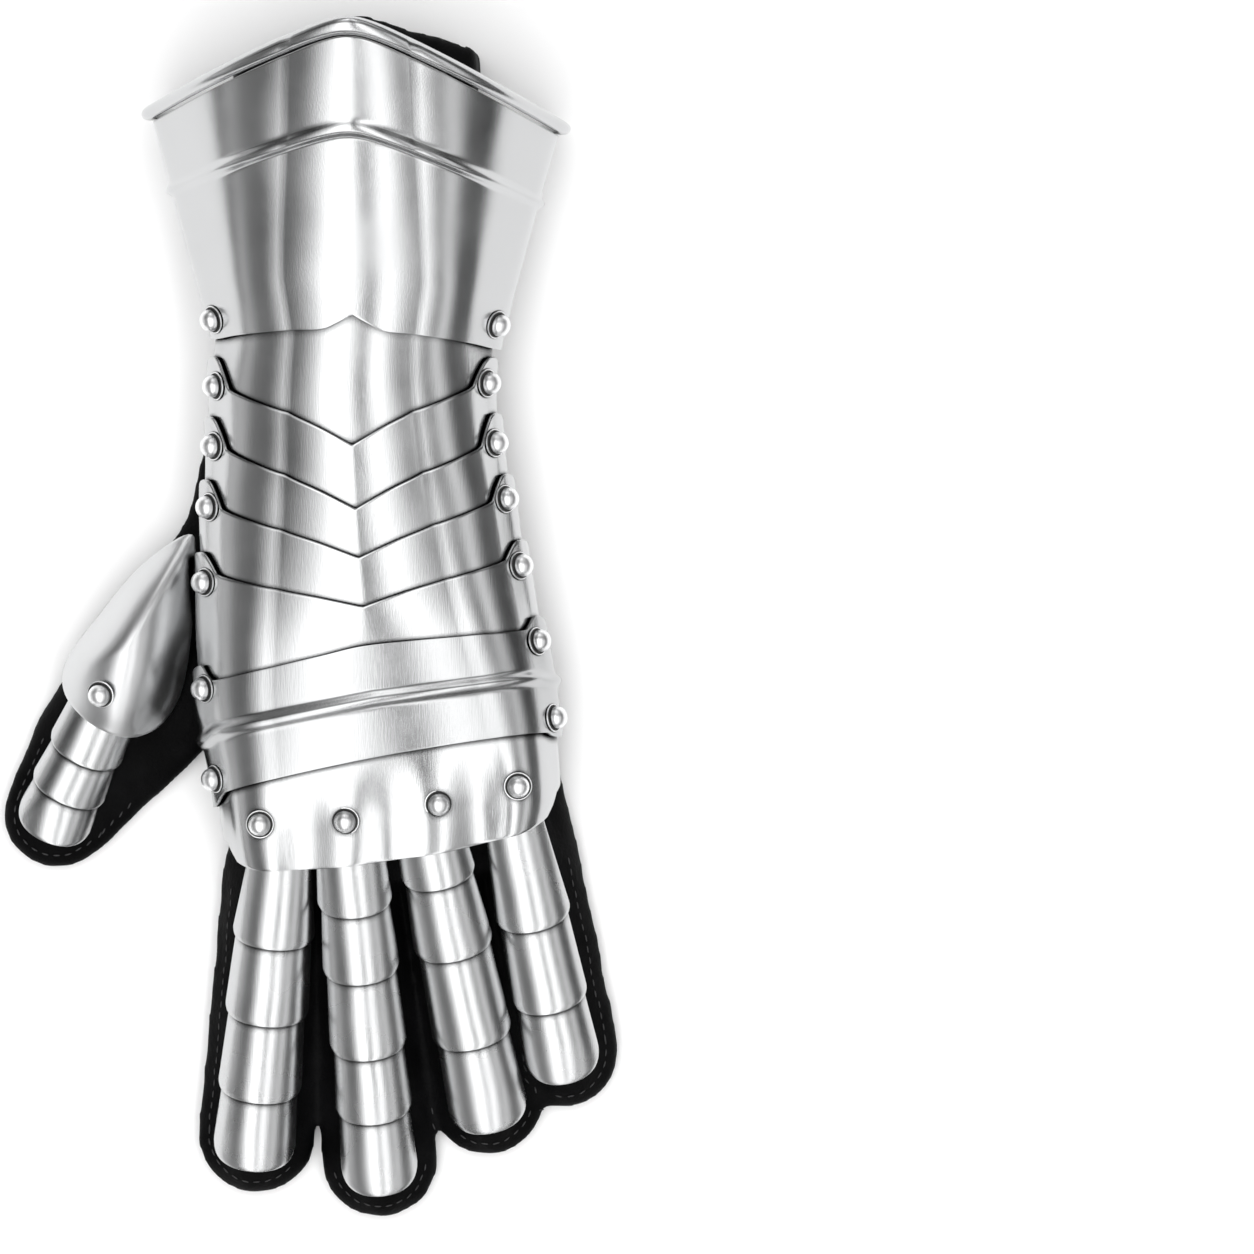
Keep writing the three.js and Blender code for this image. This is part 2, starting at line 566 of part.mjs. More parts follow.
// A scale, in its finger's own frame: -Y runs along the finger from its root.
function scaleGeometry(finger, index) {
  const end = finger.ends[index];
  const first = index === 0;
  const last = index === finger.ends.length - 1;
  const coverEnd = first ? 0 : finger.ends[index - 1];
  const start = first ? 0 : coverEnd - SCALE_BOW - SCALE_COVER;
  const bow = last ? TIP_BOW : SCALE_BOW;
  const place = (u, y, rise) => {
    const half = scaleHalfAt(finger, -y);
    const angle = u * Math.asin(half / SCALE_CROWN);
    const radius = SCALE_CROWN + rise;
    return new THREE.Vector3(
      radius * Math.sin(angle), y, crownAt(finger, -y) - SCALE_CROWN + radius * Math.cos(angle));
  };
  const riseAt = (along) => -SCALE_LAP * (end - along) / (end - coverEnd);
  const row = (alongAt) => (u) => {
    const along = alongAt(u);
    const rise = riseAt(along);
    return { y: -along, rise, innerRise: rise - SCALE_SHEET };
  };
  const endAt = (u) => end - bow * (1 - Math.sqrt(Math.max(0, 1 - (SCALE_CORNER * u) ** 2)));
  const across = mirrored([0, 0.3, 0.57, 0.8, 1]);
  const middle = (u) => mix(start, endAt(u), 0.5);
  return plate(place, across, [row(() => start), row(middle), row(endAt)]);
}

// ---------------------------------------------------------------- the thumb plate

function thumbPlateGeometry() {
  const outline = new THREE.CatmullRomCurve3(
    THUMB_PLATE.outline.map((p) => new THREE.Vector3(...p)), true, 'centripetal');
  const { sides } = THUMB_PLATE;
  const loop = Array.from({ length: sides }, (_, i) => outline.getPoint(i / sides));
  const peak = new THREE.Vector3(...THUMB_PLATE.peak);
  const ring = (share) => loop.map((p) => {
    const point = between(peak, p, share);
    point.z = mix(p.z, peak.z, Math.sqrt(1 - share ** 2));
    return point;
  });
  const rings = THUMB_PLATE.rings.map(ring);
  const points = [...rings.flat(), peak];
  const count = points.length;
  const lowered = points.map((p) => {
    const out = p.clone().sub(peak).setZ(0).multiplyScalar(THUMB_PLATE.inset);
    return p.clone().sub(out).add(new THREE.Vector3(0, 0, -SHEET));
  });
  const triangles = [];
  const both = (a, b, c) => triangles.push([a, b, c], [count + c, count + b, count + a]);
  for (let i = 0; i < sides; i += 1) {
    const next = (i + 1) % sides;
    for (let j = 0; j < rings.length - 1; j += 1) {
      both(j * sides + i, j * sides + next, (j + 1) * sides + next);
      both(j * sides + i, (j + 1) * sides + next, (j + 1) * sides + i);
    }
    const top = (rings.length - 1) * sides;
    both(top + i, top + next, count - 1);
    triangles.push([next, i, count + i], [next, count + i, count + next]);
  }
  return geometryOf([...points, ...lowered], triangles);
}

// ---------------------------------------------------------------- the glove

// Half of a section of the glove's body, from the crown round to the middle of the flat underside.
function gloveRing(s, wallIn) {
  const half = s.half - wallIn;
  const top = s.top - wallIn;
  const floor = wallIn;
  const hip = Math.min(GLOVE_HIP.height, s.top * GLOVE_HIP.share);
  const right = [
    [0, top], [s.shoulder * half * 0.6, top - s.fall * 0.25], [s.shoulder * half, top - s.fall],
    [half * 0.95, hip + 4], [half, hip * 0.6], [half * 0.97, floor + 2.5], [half * 0.9, floor],
  ];
  const points = [...right, ...right.slice(1).reverse().map(([x, z]) => [-x, z])];
  const turn = THREE.MathUtils.degToRad(s.turn);
  return points.map(([x, z]) => new THREE.Vector3(
    s.x + x * Math.cos(turn), s.y + x * Math.sin(turn) - s.sweep * Math.abs(x) / s.half, z));
}

// A section of a gloved finger: a flat sole, its broadest part low down, and a narrow crest under the scales.
const FINGER_SECTION = [[0, 1], [0.3, 0.95], [0.6, 0.68], [0.86, 0.48], [1, 0.26], [0.95, 0.09], [0.78, 0]];

function fingerRing(at, onward, halfLeft, halfRight, top, wallIn, lift = 0) {
  const least = 0.3;
  const height = Math.max(top - lift - 2 * wallIn, least);
  const section = (half) => FINGER_SECTION.map(([x, z]) => [
    x * Math.max(half - wallIn, least), lift + wallIn + z * height]);
  const right = section(halfRight);
  const left = section(halfLeft).slice(1).reverse().map(([x, z]) => [-x, z]);
  const square = new THREE.Vector2(-onward.y, onward.x);
  return [...right, ...left].map(([x, z]) => new THREE.Vector3(at.x + square.x * x, at.y + square.y * x, z));
}

// Half of the room between a finger and its neighbour at a distance along it, or the finger's own half-width.
function roomBeside(finger, neighbour, at) {
  if (!neighbour) return GLOVE_FINGER_HALF;
  const other = fingerFrame(neighbour);
  const x = other.root.x + other.onward.x / other.onward.y * (at.y - other.root.y);
  const { onward } = fingerFrame(finger);
  return Math.min(GLOVE_FINGER_HALF, Math.abs(x - at.x) / 2 * Math.abs(onward.y) - GAP);
}

// The rings of the glove along a finger or the thumb, from the stations given to its rounded tip.
function tipRings(finger, stations, halvesAt, topAt, wallIn) {
  const { root, length, onward } = fingerFrame(finger);
  const reach = length + GLOVE_REACH;
  const { round, bend, end, middle: middleShare, blunt } = FINGERTIP;
  const tip = [reach - round, reach - round * bend, reach - end];
  const places = [stations[0] + wallIn, ...stations.slice(1), ...tip];
  return places.map((along) => {
    const past = Math.max(0, along - reach + round) / round;
    const narrowing = Math.sqrt(Math.max(blunt, 1 - past ** 2));
    const at = root.clone().addScaledVector(onward, along - wallIn * past);
    const top = topAt(along, Math.min(along, length));
    const middle = top * middleShare;
    const [left, right] = halvesAt(at, along / length).map((half) => half * narrowing);
    const lift = past > bend ? middle * (1 - narrowing) : 0;
    return fingerRing(at, onward, left, right, mix(middle, top, narrowing), wallIn, lift);
  });
}

function gloveFinger(finger, left, right, wallIn) {
  const [start, , grownBy] = GLOVE_STATIONS;
  const halvesAt = (at) => [roomBeside(finger, left, at), roomBeside(finger, right, at)];
  const topAt = (along, onScales) => {
    const grown = THREE.MathUtils.clamp((along - start) / (grownBy - start), 0, 1);
    return mix(GLOVE_ROOT_TOP, crownAt(finger, onScales) - GLOVE_CREST, grown);
  };
  return loft(tipRings(finger, GLOVE_STATIONS, halvesAt, topAt, wallIn));
}

function gloveThumb(wallIn) {
  const rootRings = THUMB_ROOT.map(({ at, half, top }, i) => {
    const next = THUMB_ROOT[i + 1]?.at ?? THUMB.root;
    const run = new THREE.Vector2(next[0] - at[0], next[1] - at[1]).normalize();
    const middle = new THREE.Vector2(...at).addScaledVector(run, i === 0 ? wallIn : 0);
    return fingerRing(middle, run, half, half, top, wallIn);
  });
  const halvesAt = (_, share) => {
    const half = mix(...GLOVE_THUMB_HALF, THREE.MathUtils.clamp(share, 0, 1));
    return [half, half];
  };
  const topAt = (_, onScales) => crownAt(THUMB, onScales) - THUMB_CREST;
  return loft([...rootRings, ...tipRings(THUMB, [THUMB_START], halvesAt, topAt, wallIn)]);
}

function gloveGeometry() {
  const shell = (wallIn) => {
    const body = GLOVE.map((s, i) => {
      if (wallIn === 0) return s;
      if (i === 0) return { ...s, y: s.y + GLOVE_MOUTH };
      return i === GLOVE.length - 1 ? { ...s, y: s.y + LEATHER } : s;
    });
    let solid = manifoldOf(loft(body.map((s) => gloveRing(s, wallIn))));
    FINGERS.forEach((finger, i) => {
      solid = solid.add(manifoldOf(gloveFinger(finger, FINGERS[i - 1], FINGERS[i + 1], wallIn)));
    });
    return solid.add(manifoldOf(gloveThumb(wallIn)));
  };
  return fromManifold(shell(0).subtract(shell(LEATHER)));
}

// ---------------------------------------------------------------- assembly

const gauntlet = new THREE.Group();
gauntlet.name = 'gauntlet';

function add(parent, name, geometry, material) {
  const mesh = new THREE.Mesh(geometry, material);
  mesh.name = name;
  parent.add(mesh);
  return mesh;
}

add(gauntlet, 'leather_glove', gloveGeometry(), leather());

const plates = {
  cuff: cuffGeometry(),
  wrist_plate: wristPlateGeometry(),
  ...Object.fromEntries(LAMES.map((lame, i) => [lame.name, lameGeometry(i)])),
  knuckle_plate: knucklePlateGeometry(),
  knuckle_lame: knuckleLameGeometry(),
};
const holes = Object.fromEntries(Object.keys(plates).map((name) => [name, []]));

function addRivet(name, spot) {
  const rivet = add(gauntlet, name, rivetGeometry(spot.grip), rivetSteel());
  turnTo(rivet, spot.position, spot.axis);
}

for (const { name, y, out, over, under } of RIVET_ROWS) {
  for (const [side, label] of [[-1, 'thumb_side'], [1, 'outer_side']]) {
    const from = onBack(side * out, y, 20);
    const inward = onBack(side * out, y, 0).sub(from).normalize();
    const spot = spotThrough(plates[over], plates[under], from, inward);
    holes[over].push(spot);
    holes[under].push(spot);
    addRivet(`${name}_${label}`, spot);
  }
}

const down = new THREE.Vector3(0, 0, -1);
for (const finger of FINGERS) {
  const { knuckle_lame: lame } = plates;
  const spot = spotThrough(lame, lame, new THREE.Vector3(...finger.stud, 90), down);
  holes.knuckle_lame.push(spot);
  addRivet(`knuckle_stud_${finger.name}`, spot);
}

for (const [name, geometry] of Object.entries(plates)) {
  add(gauntlet, name, drill(geometry, holes[name]), steel());
}

const thumbPlate = thumbPlateGeometry();
const thumbSpot = spotThrough(thumbPlate, thumbPlate, new THREE.Vector3(...THUMB_PLATE.stud, 90), down);
add(gauntlet, 'thumb_plate', drill(thumbPlate, [thumbSpot]), steel());
addRivet('thumb_stud', thumbSpot);

for (const finger of [...FINGERS, THUMB]) {
  const group = new THREE.Group();
  const { root, turn } = fingerFrame(finger);
  group.position.set(root.x, root.y, 0);
  group.rotation.z = turn;
  gauntlet.add(group);
  finger.ends.forEach((_, i) => {
    add(group, `${finger.name}_scale_${i + 1}`, scaleGeometry(finger, i), steel());
  });
}

export default gauntlet;
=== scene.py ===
"""Finishes the gauntlet: smooth riveted plates, finger scales, domed rivets and a sewn leather glove."""

import json
import math

import bpy
import numpy as np
from mathutils import Matrix, Vector, noise
from mathutils.bvhtree import BVHTree


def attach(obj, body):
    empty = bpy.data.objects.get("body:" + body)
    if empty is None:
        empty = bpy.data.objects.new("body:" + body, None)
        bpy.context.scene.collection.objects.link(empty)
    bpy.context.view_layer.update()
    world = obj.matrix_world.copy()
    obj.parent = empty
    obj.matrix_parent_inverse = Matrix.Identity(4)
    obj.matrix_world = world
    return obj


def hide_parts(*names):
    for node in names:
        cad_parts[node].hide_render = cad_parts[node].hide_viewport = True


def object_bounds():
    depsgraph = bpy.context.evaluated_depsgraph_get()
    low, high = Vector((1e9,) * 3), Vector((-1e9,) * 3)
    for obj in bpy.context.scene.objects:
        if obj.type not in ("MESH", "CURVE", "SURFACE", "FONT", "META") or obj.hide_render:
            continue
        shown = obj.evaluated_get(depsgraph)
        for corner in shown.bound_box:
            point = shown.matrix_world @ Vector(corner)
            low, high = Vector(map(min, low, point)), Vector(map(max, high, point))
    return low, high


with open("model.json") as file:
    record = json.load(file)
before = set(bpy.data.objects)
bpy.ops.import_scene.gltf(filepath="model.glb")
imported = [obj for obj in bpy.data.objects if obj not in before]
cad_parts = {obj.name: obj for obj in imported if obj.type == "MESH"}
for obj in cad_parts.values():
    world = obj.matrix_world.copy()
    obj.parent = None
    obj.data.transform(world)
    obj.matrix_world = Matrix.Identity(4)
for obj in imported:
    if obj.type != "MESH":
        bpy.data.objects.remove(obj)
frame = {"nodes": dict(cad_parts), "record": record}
cad_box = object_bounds()
MM = 0.001

# ---------------------------------------------------------------- sizes of the steelwork, in millimetres

SHEET = 1.2
LAP = 1.9
SCALE_SHEET = 1.0
SCALE_LAP = 1.4
SCALE_CROWN = 14.6
EDGE_ROUND = 0.38            # worn rounding of a sheet's edges
EDGE_ANGLE = 50              # edges sharper than this, in degrees, are rounded
SMOOTH_ANGLE = 40            # and those flatter than this are shaded smooth
BEAD_HALF = 3.4
BEAD_RISE = 1.7
ROLL = 2.6
ROLL_LIFT = 0.3              # of the rim's roll above the sheet
ROLL_ANGLE = 50
RIM_MERGE = 0.02
# The unevenness left by the hammer on each kind of plate: how deep, and how far apart.
HAMMERING = {"back": (0.22, 34), "cuff": (0.3, 40), "scale": (0.18, 16), "thumb": (0.4, 16)}

COLUMNS = ("y", "x", "turn", "half", "crown", "shoulder", "fall", "hip", "tuck", "lip", "sweep")


def table(rows):
    return [dict(zip(COLUMNS, row)) for row in rows]


BACK = table((
    (120, 1, -1, 45.5, 52.5, 0.66, 6, 27, 2, 13, 0),
    (94, 0.6, -1, 44.2, 50.5, 0.66, 6, 27, 2, 13, 0),
    (74, -0.2, 0.6, 45.1, 48.5, 0.66, 6, 27, 2, 12, 0),
    (55, 0.7, 0.6, 46.8, 47.5, 0.67, 6, 27, 2, 12, 0),
    (37, 1.6, 1.5, 49.5, 46.5, 0.68, 6, 27, 2, 12, 0),
    (14, 3.2, 3, 52.5, 46, 0.71, 6, 26, 2, 12, 0),
    (-14, 5.8, 8.1, 55.5, 45, 0.76, 5.5, 25, 2, 12, 0),
    (-40, 10, 10.3, 55.2, 43, 0.82, 5, 23, 2, 11, 0),
    (-64, 12.4, 8.5, 54.2, 40, 0.86, 4.2, 20, 2, 10, 0),
    (-78, 12.4, 8, 50.5, 37.2, 0.88, 3.5, 18, 2, 9, 0),
    (-90, 12.4, 8, 46, 33, 0.88, 3, 17, 2, 9, 0),
))
CUFF = table((
    (195, 1.6, -2, 68.5, 97, 0.6, 14, 39, 5, 0.8, 28.4),
    (182, 1.4, -2, 65, 90, 0.6, 14, 38, 5, 0.8, 25.4),
    (168, 1.2, -2, 61.9, 83, 0.61, 12.5, 36, 4, 2, 22),
    (152, 1.1, -2, 58.4, 75.5, 0.62, 11, 34, 3.5, 4.5, 18.7),
    (130, 1, -2, 54, 66, 0.64, 9, 31, 3, 8.5, 13.2),
    (110, 1, -2, 49.9, 58.5, 0.66, 7.5, 29, 2.5, 12, 8.8),
    (95, 1, -2, 46.9, 54.4, 0.66, 6.5, 28, 2, 14, 6),
    (80, 1, -2, 44.5, 52.5, 0.66, 6, 27, 2, 15, 4),
))
BEND, SIDE, HIP, SKIRT = 0.42, 0.6, 0.8, 0.9
SHOULDER_ROUND = (11, 24)     # on the hand and wrist, and at the cuff's rim
SHOULDER_CROWNS = (58, 97)    # the crown heights that these belong to
HIP_ROUND = 3.5
TOP_BOW = 0.7
RIDGE_SOFTNESS = 0.2
PEAK_SOFTNESS = 0.13

# The edges of plates, as (how far out to the side, place along the hand) pairs. A lame's place is a share: 0
# at its ears and 1 at its middle.
V_EDGE = ((0, 1), (0.2, 0.81), (0.42, 0.63), (0.51, 0.51), (0.6, 0.37), (0.7, 0.17), (0.78, 0.04),
          (0.84, 0.02), (0.9, 0.1), (1, 0.34))
# Each lame: the ears and the middle of its upper edge, then of its hidden lower edge.
LAMES = (
    ("wrist_lame_1", 83.5, 54.7, 47.2, 26.5),
    ("wrist_lame_2", 65.2, 34.7, 28.8, 11.5),
    ("wrist_lame_3", 45.5, 19.4, 6.8, -4),
    ("metacarpal_plate", 23.6, 4.0, -23, -21),
)
WRIST_TOP = 102
WRIST_HIDDEN = (66.5, 46.5)
KNUCKLE_TOP = ((-1, -16), (-0.92, -12), (-0.84, -8.6), (-0.77, -8), (-0.69, -10.6), (-0.6, -12.4),
               (-0.42, -11), (-0.2, -9.4), (0, -8), (0.42, -9), (0.6, -9.8), (0.69, -7.8), (0.77, -5.2),
               (0.84, -5.8), (0.92, -9), (1, -12))
KNUCKLE_BEAD = ((0, -24.8), (0.42, -26), (0.6, -27), (0.8, -28.5), (1, -29))
KNUCKLE_BOTTOM = ((-1, -49), (-0.91, -50), (-0.83, -49.2), (-0.72, -47.2), (-0.6, -45.4), (-0.42, -43.6),
                  (0, -42.4), (0.42, -43.2), (0.6, -44.6), (0.72, -46), (0.83, -46.4), (1, -46.2))
KNUCKLE_LAME_TOP = -33.5
KNUCKLE_LAME_BOTTOM = ((0, -76.2), (0.28, -75.6), (0.42, -74.4), (0.51, -72.8), (0.6, -69.6), (0.72, -66),
                       (0.83, -61.5), (1, -57))
FLUTE_VALLEYS = (-27, 0, 28)
FLUTE_HALF = 13
FLUTE_DEPTH = 1.5
FLUTE_GROWTH = 20

CUFF_EDGE = ((0, 95.3), (0.08, 93.4), (0.2, 91.4), (0.42, 92), (0.6, 92.5), (0.83, 92.4), (1, 94))
CUFF_BEAD = 152
CUFF_RIM = 180
CUFF_NECK = 1                # from the sheet's end to the rim

# Each finger: its root and tip, the half-width of its scales and their crown at both, and where each scale
# ends.
FINGERS = {
    "index": ((-22.5, -70), (-32.6, -175.2), (10.6, 13.8), (31.5, 23.5), (34.6, 59.1, 83.6, 105.6)),
    "middle": ((-0.9, -71), (8.9, -183), (12.0, 12.8), (34.3, 23.5), (23.4, 44.7, 68.9, 89.3, 112.4)),
    "ring": ((24.2, -66.5), (44.3, -163), (12.0, 13.2), (34.3, 23.5), (19.2, 42.4, 71.1, 98.5)),
    "pinky": ((50.4, -62), (68, -147.5), (10.4, 12.6), (30.5, 23), (37.5, 64.1, 87.1)),
    "thumb": ((-79.4, -28), (-98.9, -70.6), (12.6, 13.2), (22.8, 19.5), (19.5, 33, 46.6)),
}
SCALE_BOW = 8
TIP_BOW = 12.5
SCALE_COVER = 4
SCALE_GROWTH = 32
SCALE_CORNER = 0.985
CROWN_EASE = 1.4
TIP_DIP_LENGTH = 14
TIP_DIP_FALL = 3

THUMB_OUTLINE = (
    (-51, 27, 22), (-66, 18.5, 20), (-81.5, 1, 16), (-92, -14, 15.5), (-92, -22.5, 19), (-86, -30.5, 24),
    (-77.4, -35.8, 25), (-69.5, -37.2, 22), (-61.5, -33.5, 17), (-55.4, -24, 15), (-51.8, -6, 17),
    (-50.8, 12, 20),
)
THUMB_PEAK = Vector((-70.5, -9, 35))
THUMB_RIM_TOLERANCE = 0.001
THUMB_SMOOTH_END = 0.97      # how far out from the peak the dome is smoothed
THUMB_SMOOTHING = 14
THUMB_AXIS = Vector((0.51, 0.86))
THUMB_CURVES = (0.009, 0.06)  # how quickly the plate falls from its peak, along its length and across
# Each fold: its ends, how deep it is and its half-width.
THUMB_FOLDS = (
    (Vector((-50, 0)), Vector((-66, -36)), 2.2, 2.2),
    (Vector((-50, -8)), Vector((-59, -34)), 1.7, 1.7),
)
FOLD_WANDER, FOLD_WAVES, FOLD_FADE = 1.2, 1.1, 0.7

MOUTH_START = 0.165          # the sleeve's mouth lies past this, in metres
MOUTH_FACING = 0.6           # how squarely the mouth's faces look along the arm
MOUTH_SLOPE = 0.3            # how fast the mouth's edge falls back to the sides
MOUTH_REACH = 14             # of the hollow past the mouth, to cut it open
SKIN_MERGE = 0.01
HEM_WIDTH = 9
HEM_RISE, HEM_EASE = 0.7, 1.5
HEM_GROOVE, HEM_GROOVE_HALF = 0.5, 1.2
# The leather's folds: how deep, and how far apart along each axis.
CREASES = ((0.5, (26, 11, 18)), (0.18, (7, 6, 7)))
GLOVE_VOXEL = 1.5
GLOVE_SMOOTHING = {"factor": 0.6, "iterations": 14}
GLOVE_SWELL = 0.5            # makes up for what the smoothing takes away
GLOVE_FLAT = 2               # folds and swelling fade out below this height
GLOVE_FLOOR = 0.05
GLOVE_REACH = 7.5            # of the leather past the last scale
GLOVE_HALVES = {"index": 18.7, "middle": 18.4, "ring": 17.8, "pinky": 18.2, "thumb": 16.8}
PAD_START = 12
PAD_HALF_HEIGHT = 5.6
THUMB_WEB = ((-52, -24), (-90, -61), 15)    # its two ends and its half-width
STITCH_START = 18
STITCH_STEP = 3.6
STITCH_INSET = 3.4
STITCH_LEVEL = 6
STITCH_REACH = 24
STITCH_SIZE = (1.2, 0.28, 0.28)
MOUTH_STITCHES = 9           # to each side of the sleeve's middle
EDGE_SEARCH = 30             # how far outside the fingers the glove's edge is looked for
OVERHEAD = 0.1               # a height above the whole glove, in metres
SEWN_SIDES = {"index": (-1,), "middle": (), "ring": (), "pinky": (1,), "thumb": (-1, 1)}

RIVET_DOME = 3.5
RIVET_RISE = 2.9
RIVET_STEM = 4.1
RIVET_STEM_RISE = 1.1
RIVET_FOOT = 1.2             # of the dome below its widest ring
RIVET_BEVEL = 0.15
WASHER = 4.45
# What lies under the dome: its radius, and its bottom and top from the stem's base.
RIVET_LAYERS = (("rivet_stem", RIVET_STEM, -0.2, 0.35), ("rivet_washer", WASHER, -0.4, 0.1))

# ---------------------------------------------------------------- curves and surfaces


def mix(a, b, t):
    return a + (b - a) * t


def clamp(value):
    return min(1.0, max(0.0, value))


def hermite(t, a, b, slope_a, slope_b):
    return ((2 * t**3 - 3 * t**2 + 1) * a + (t**3 - 2 * t**2 + t) * slope_a
            + (3 * t**2 - 2 * t**3) * b + (t**3 - t**2) * slope_b)


def section_at(rows, y):
    """The section of a form at any y, with every column passing smoothly through its rows."""
    i = 0
    while i < len(rows) - 2 and rows[i + 1]["y"] > y:
        i += 1
    a, b = rows[i], rows[i + 1]
    before, after = rows[max(i - 1, 0)], rows[min(i + 2, len(rows) - 1)]
    span = b["y"] - a["y"]
    t = (y - a["y"]) / span
    section = {}
    for key in COLUMNS[1:]:
        slope_a = (b[key] - before[key]) / (b["y"] - before["y"]) * span
        slope_b = (after[key] - a[key]) / (after["y"] - a["y"]) * span
        section[key] = hermite(t, a[key], b[key], slope_a, slope_b)
    return section


def smooth_value(pairs, place):
    """A smooth curve through a short list of (place, value) pairs."""
    i = 0
    while i < len(pairs) - 2 and pairs[i + 1][0] < place:
        i += 1
    (p0, v0), (p1, v1) = pairs[i], pairs[i + 1]
    span = p1 - p0
    first, last = i == 0, i + 2 == len(pairs)
    slope_a = (v1 - v0) if first else (v1 - pairs[i - 1][1]) / (p1 - pairs[i - 1][0]) * span
    slope_b = (v1 - v0) if last else (pairs[i + 2][1] - v0) / (pairs[i + 2][0] - p0) * span
    return hermite((place - p0) / span, v0, v1, slope_a, slope_b)


def corner(start, point, end, t):
    return start.lerp(point, t).lerp(point.lerp(end, t), t)


def toward(start, end, length):
    return start + (end - start).normalized() * length


def softened(share, softness):
    """A share of the way out from a ridge, with the ridge rounded."""
    return (math.hypot(share, softness) - softness) / (math.hypot(1, softness) - softness)


def half_section(s, share):
    """Half of a section: softened ridge, bowed top, rounded shoulder, flat side, rounded hip and skirt."""
    crown = Vector((0, s["crown"]))
    shoulder = Vector((s["shoulder"] * s["half"], s["crown"] - s["fall"]))
    hip = Vector((s["half"], s["hip"]))
    lip = Vector((s["half"] - s["tuck"], s["lip"]))
    side = (hip - shoulder).length
    low, high = SHOULDER_CROWNS
    bend = mix(*SHOULDER_ROUND, clamp((s["crown"] - low) / (high - low)))
    bend_start = toward(shoulder, crown, bend)
    bend_end = toward(shoulder, hip, min(bend, side / 2))
    hip_start = toward(hip, shoulder, min(HIP_ROUND, side / 2.5))
    hip_end = toward(hip, lip, min(HIP_ROUND, (lip - hip).length / 2))
    if share <= BEND:
        t = share / BEND
        soft = softened(t, RIDGE_SOFTNESS)
        bow = 4 * TOP_BOW * soft * (1 - soft)
        return Vector((mix(crown.x, bend_start.x, t), mix(crown.y, bend_start.y, soft) + bow))
    if share <= SIDE:
        return corner(bend_start, shoulder, bend_end, (share - BEND) / (SIDE - BEND))
    if share <= HIP:
        return bend_end.lerp(hip_start, (share - SIDE) / (HIP - SIDE))
    if share <= SKIRT:
        return corner(hip_start, hip, hip_end, (share - HIP) / (SKIRT - HIP))
    return hip_end.lerp(lip, (share - SKIRT) / (1 - SKIRT))


def surface(rows, u, y):
    s = section_at(rows, y)
    out, height = half_section(s, min(abs(u), 1))
    side = math.copysign(out, u)
    turn = math.radians(s["turn"])
    back = s["sweep"] * softened(out / s["half"], PEAK_SOFTNESS)
    return Vector((s["x"] + side * math.cos(turn), y + side * math.sin(turn) - back, height))


def raised(rows, u, y, rise):
    """A point above a surface, square to it."""
    step_u, step_y = 0.02, 0.5
    across = surface(rows, min(u + step_u, 1), y) - surface(rows, max(u - step_u, -1), y)
    onward = surface(rows, u, y + step_y) - surface(rows, u, y - step_y)
    return surface(rows, u, y) + across.cross(onward).normalized() * rise


def hammered(point, kind, seed):
    """The slow unevenness of sheet worked by hand."""
    depth, length = HAMMERING[kind]
    return depth * noise.noise(Vector((point.x / length, point.y / length, seed)))


# ---------------------------------------------------------------- making and finishing meshes


def start_clean():
    """Leaves edit mode, and selects nothing."""
    if bpy.context.object and bpy.context.object.mode != "OBJECT":
        bpy.ops.object.mode_set(mode="OBJECT")
    bpy.ops.object.select_all(action="DESELECT")


def only(obj):
    start_clean()
    obj.select_set(True)
    bpy.context.view_layer.objects.active = obj
    return obj


def named(name):
    obj = bpy.context.object
    obj.name = name
    obj.data.name = name
    return obj


def apply_modifier(obj, kind, **settings):
    only(obj)
    modifier = obj.modifiers.new(kind.title(), kind)
    for key, value in settings.items():
        setattr(modifier, key, value)
    bpy.ops.object.modifier_apply(modifier=modifier.name)


def settle(obj):
    """Puts an object's place into its mesh."""
    only(obj)
    bpy.ops.object.transform_apply(location=True, rotation=True, scale=True)


def shaped_grid(name, columns, rows, point):
    """A grid laid on a curved form: point(u, t) gives its place, in millimetres, for u and t from -1 to 1."""
    start_clean()
    bpy.ops.mesh.primitive_grid_add(x_subdivisions=columns, y_subdivisions=rows, size=2)
    grid = named(name)
    for vertex in grid.data.vertices:
        vertex.co = point(vertex.co.x, vertex.co.y) * MM
    grid.data.update()
    return grid


def delete_vertices(obj, chosen):
    """Deletes the vertices whose places are chosen."""
    only(obj)
    bpy.ops.object.mode_set(mode="EDIT")
    bpy.ops.mesh.select_mode(type="VERT")
    bpy.ops.mesh.select_all(action="DESELECT")
    bpy.ops.object.mode_set(mode="OBJECT")
    for vertex in obj.data.vertices:
        vertex.select = chosen(vertex.co)
    bpy.ops.object.mode_set(mode="EDIT")
    bpy.ops.mesh.delete(type="VERT")
    bpy.ops.object.mode_set(mode="OBJECT")


def sheet_metal(obj, thickness):
    """Gives a shaped sheet its thickness and its worn, rounded edges."""
    apply_modifier(obj, "SOLIDIFY", thickness=thickness * MM, offset=-1)
    apply_modifier(obj, "BEVEL", width=EDGE_ROUND * MM, segments=2, limit_method="ANGLE",
                   angle_limit=math.radians(EDGE_ANGLE))
    only(obj)
    bpy.ops.object.shade_smooth_by_angle(angle=math.radians(SMOOTH_ANGLE))
    return obj


def join(name, pieces):
    start_clean()
    for piece in pieces:
        piece.select_set(True)
    bpy.context.view_layer.objects.active = pieces[0]
    bpy.ops.object.join()
    return named(name)


def body_with(node):
    for name, nodes in frame["record"]["behaviour"]["bodies"].items():
        if node in nodes:
            return name
    raise ValueError(node)


def stand_for(obj, node):
    """Lets a finished piece stand for its CAD node, on the same body."""
    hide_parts(node)
    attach(obj, body_with(node))


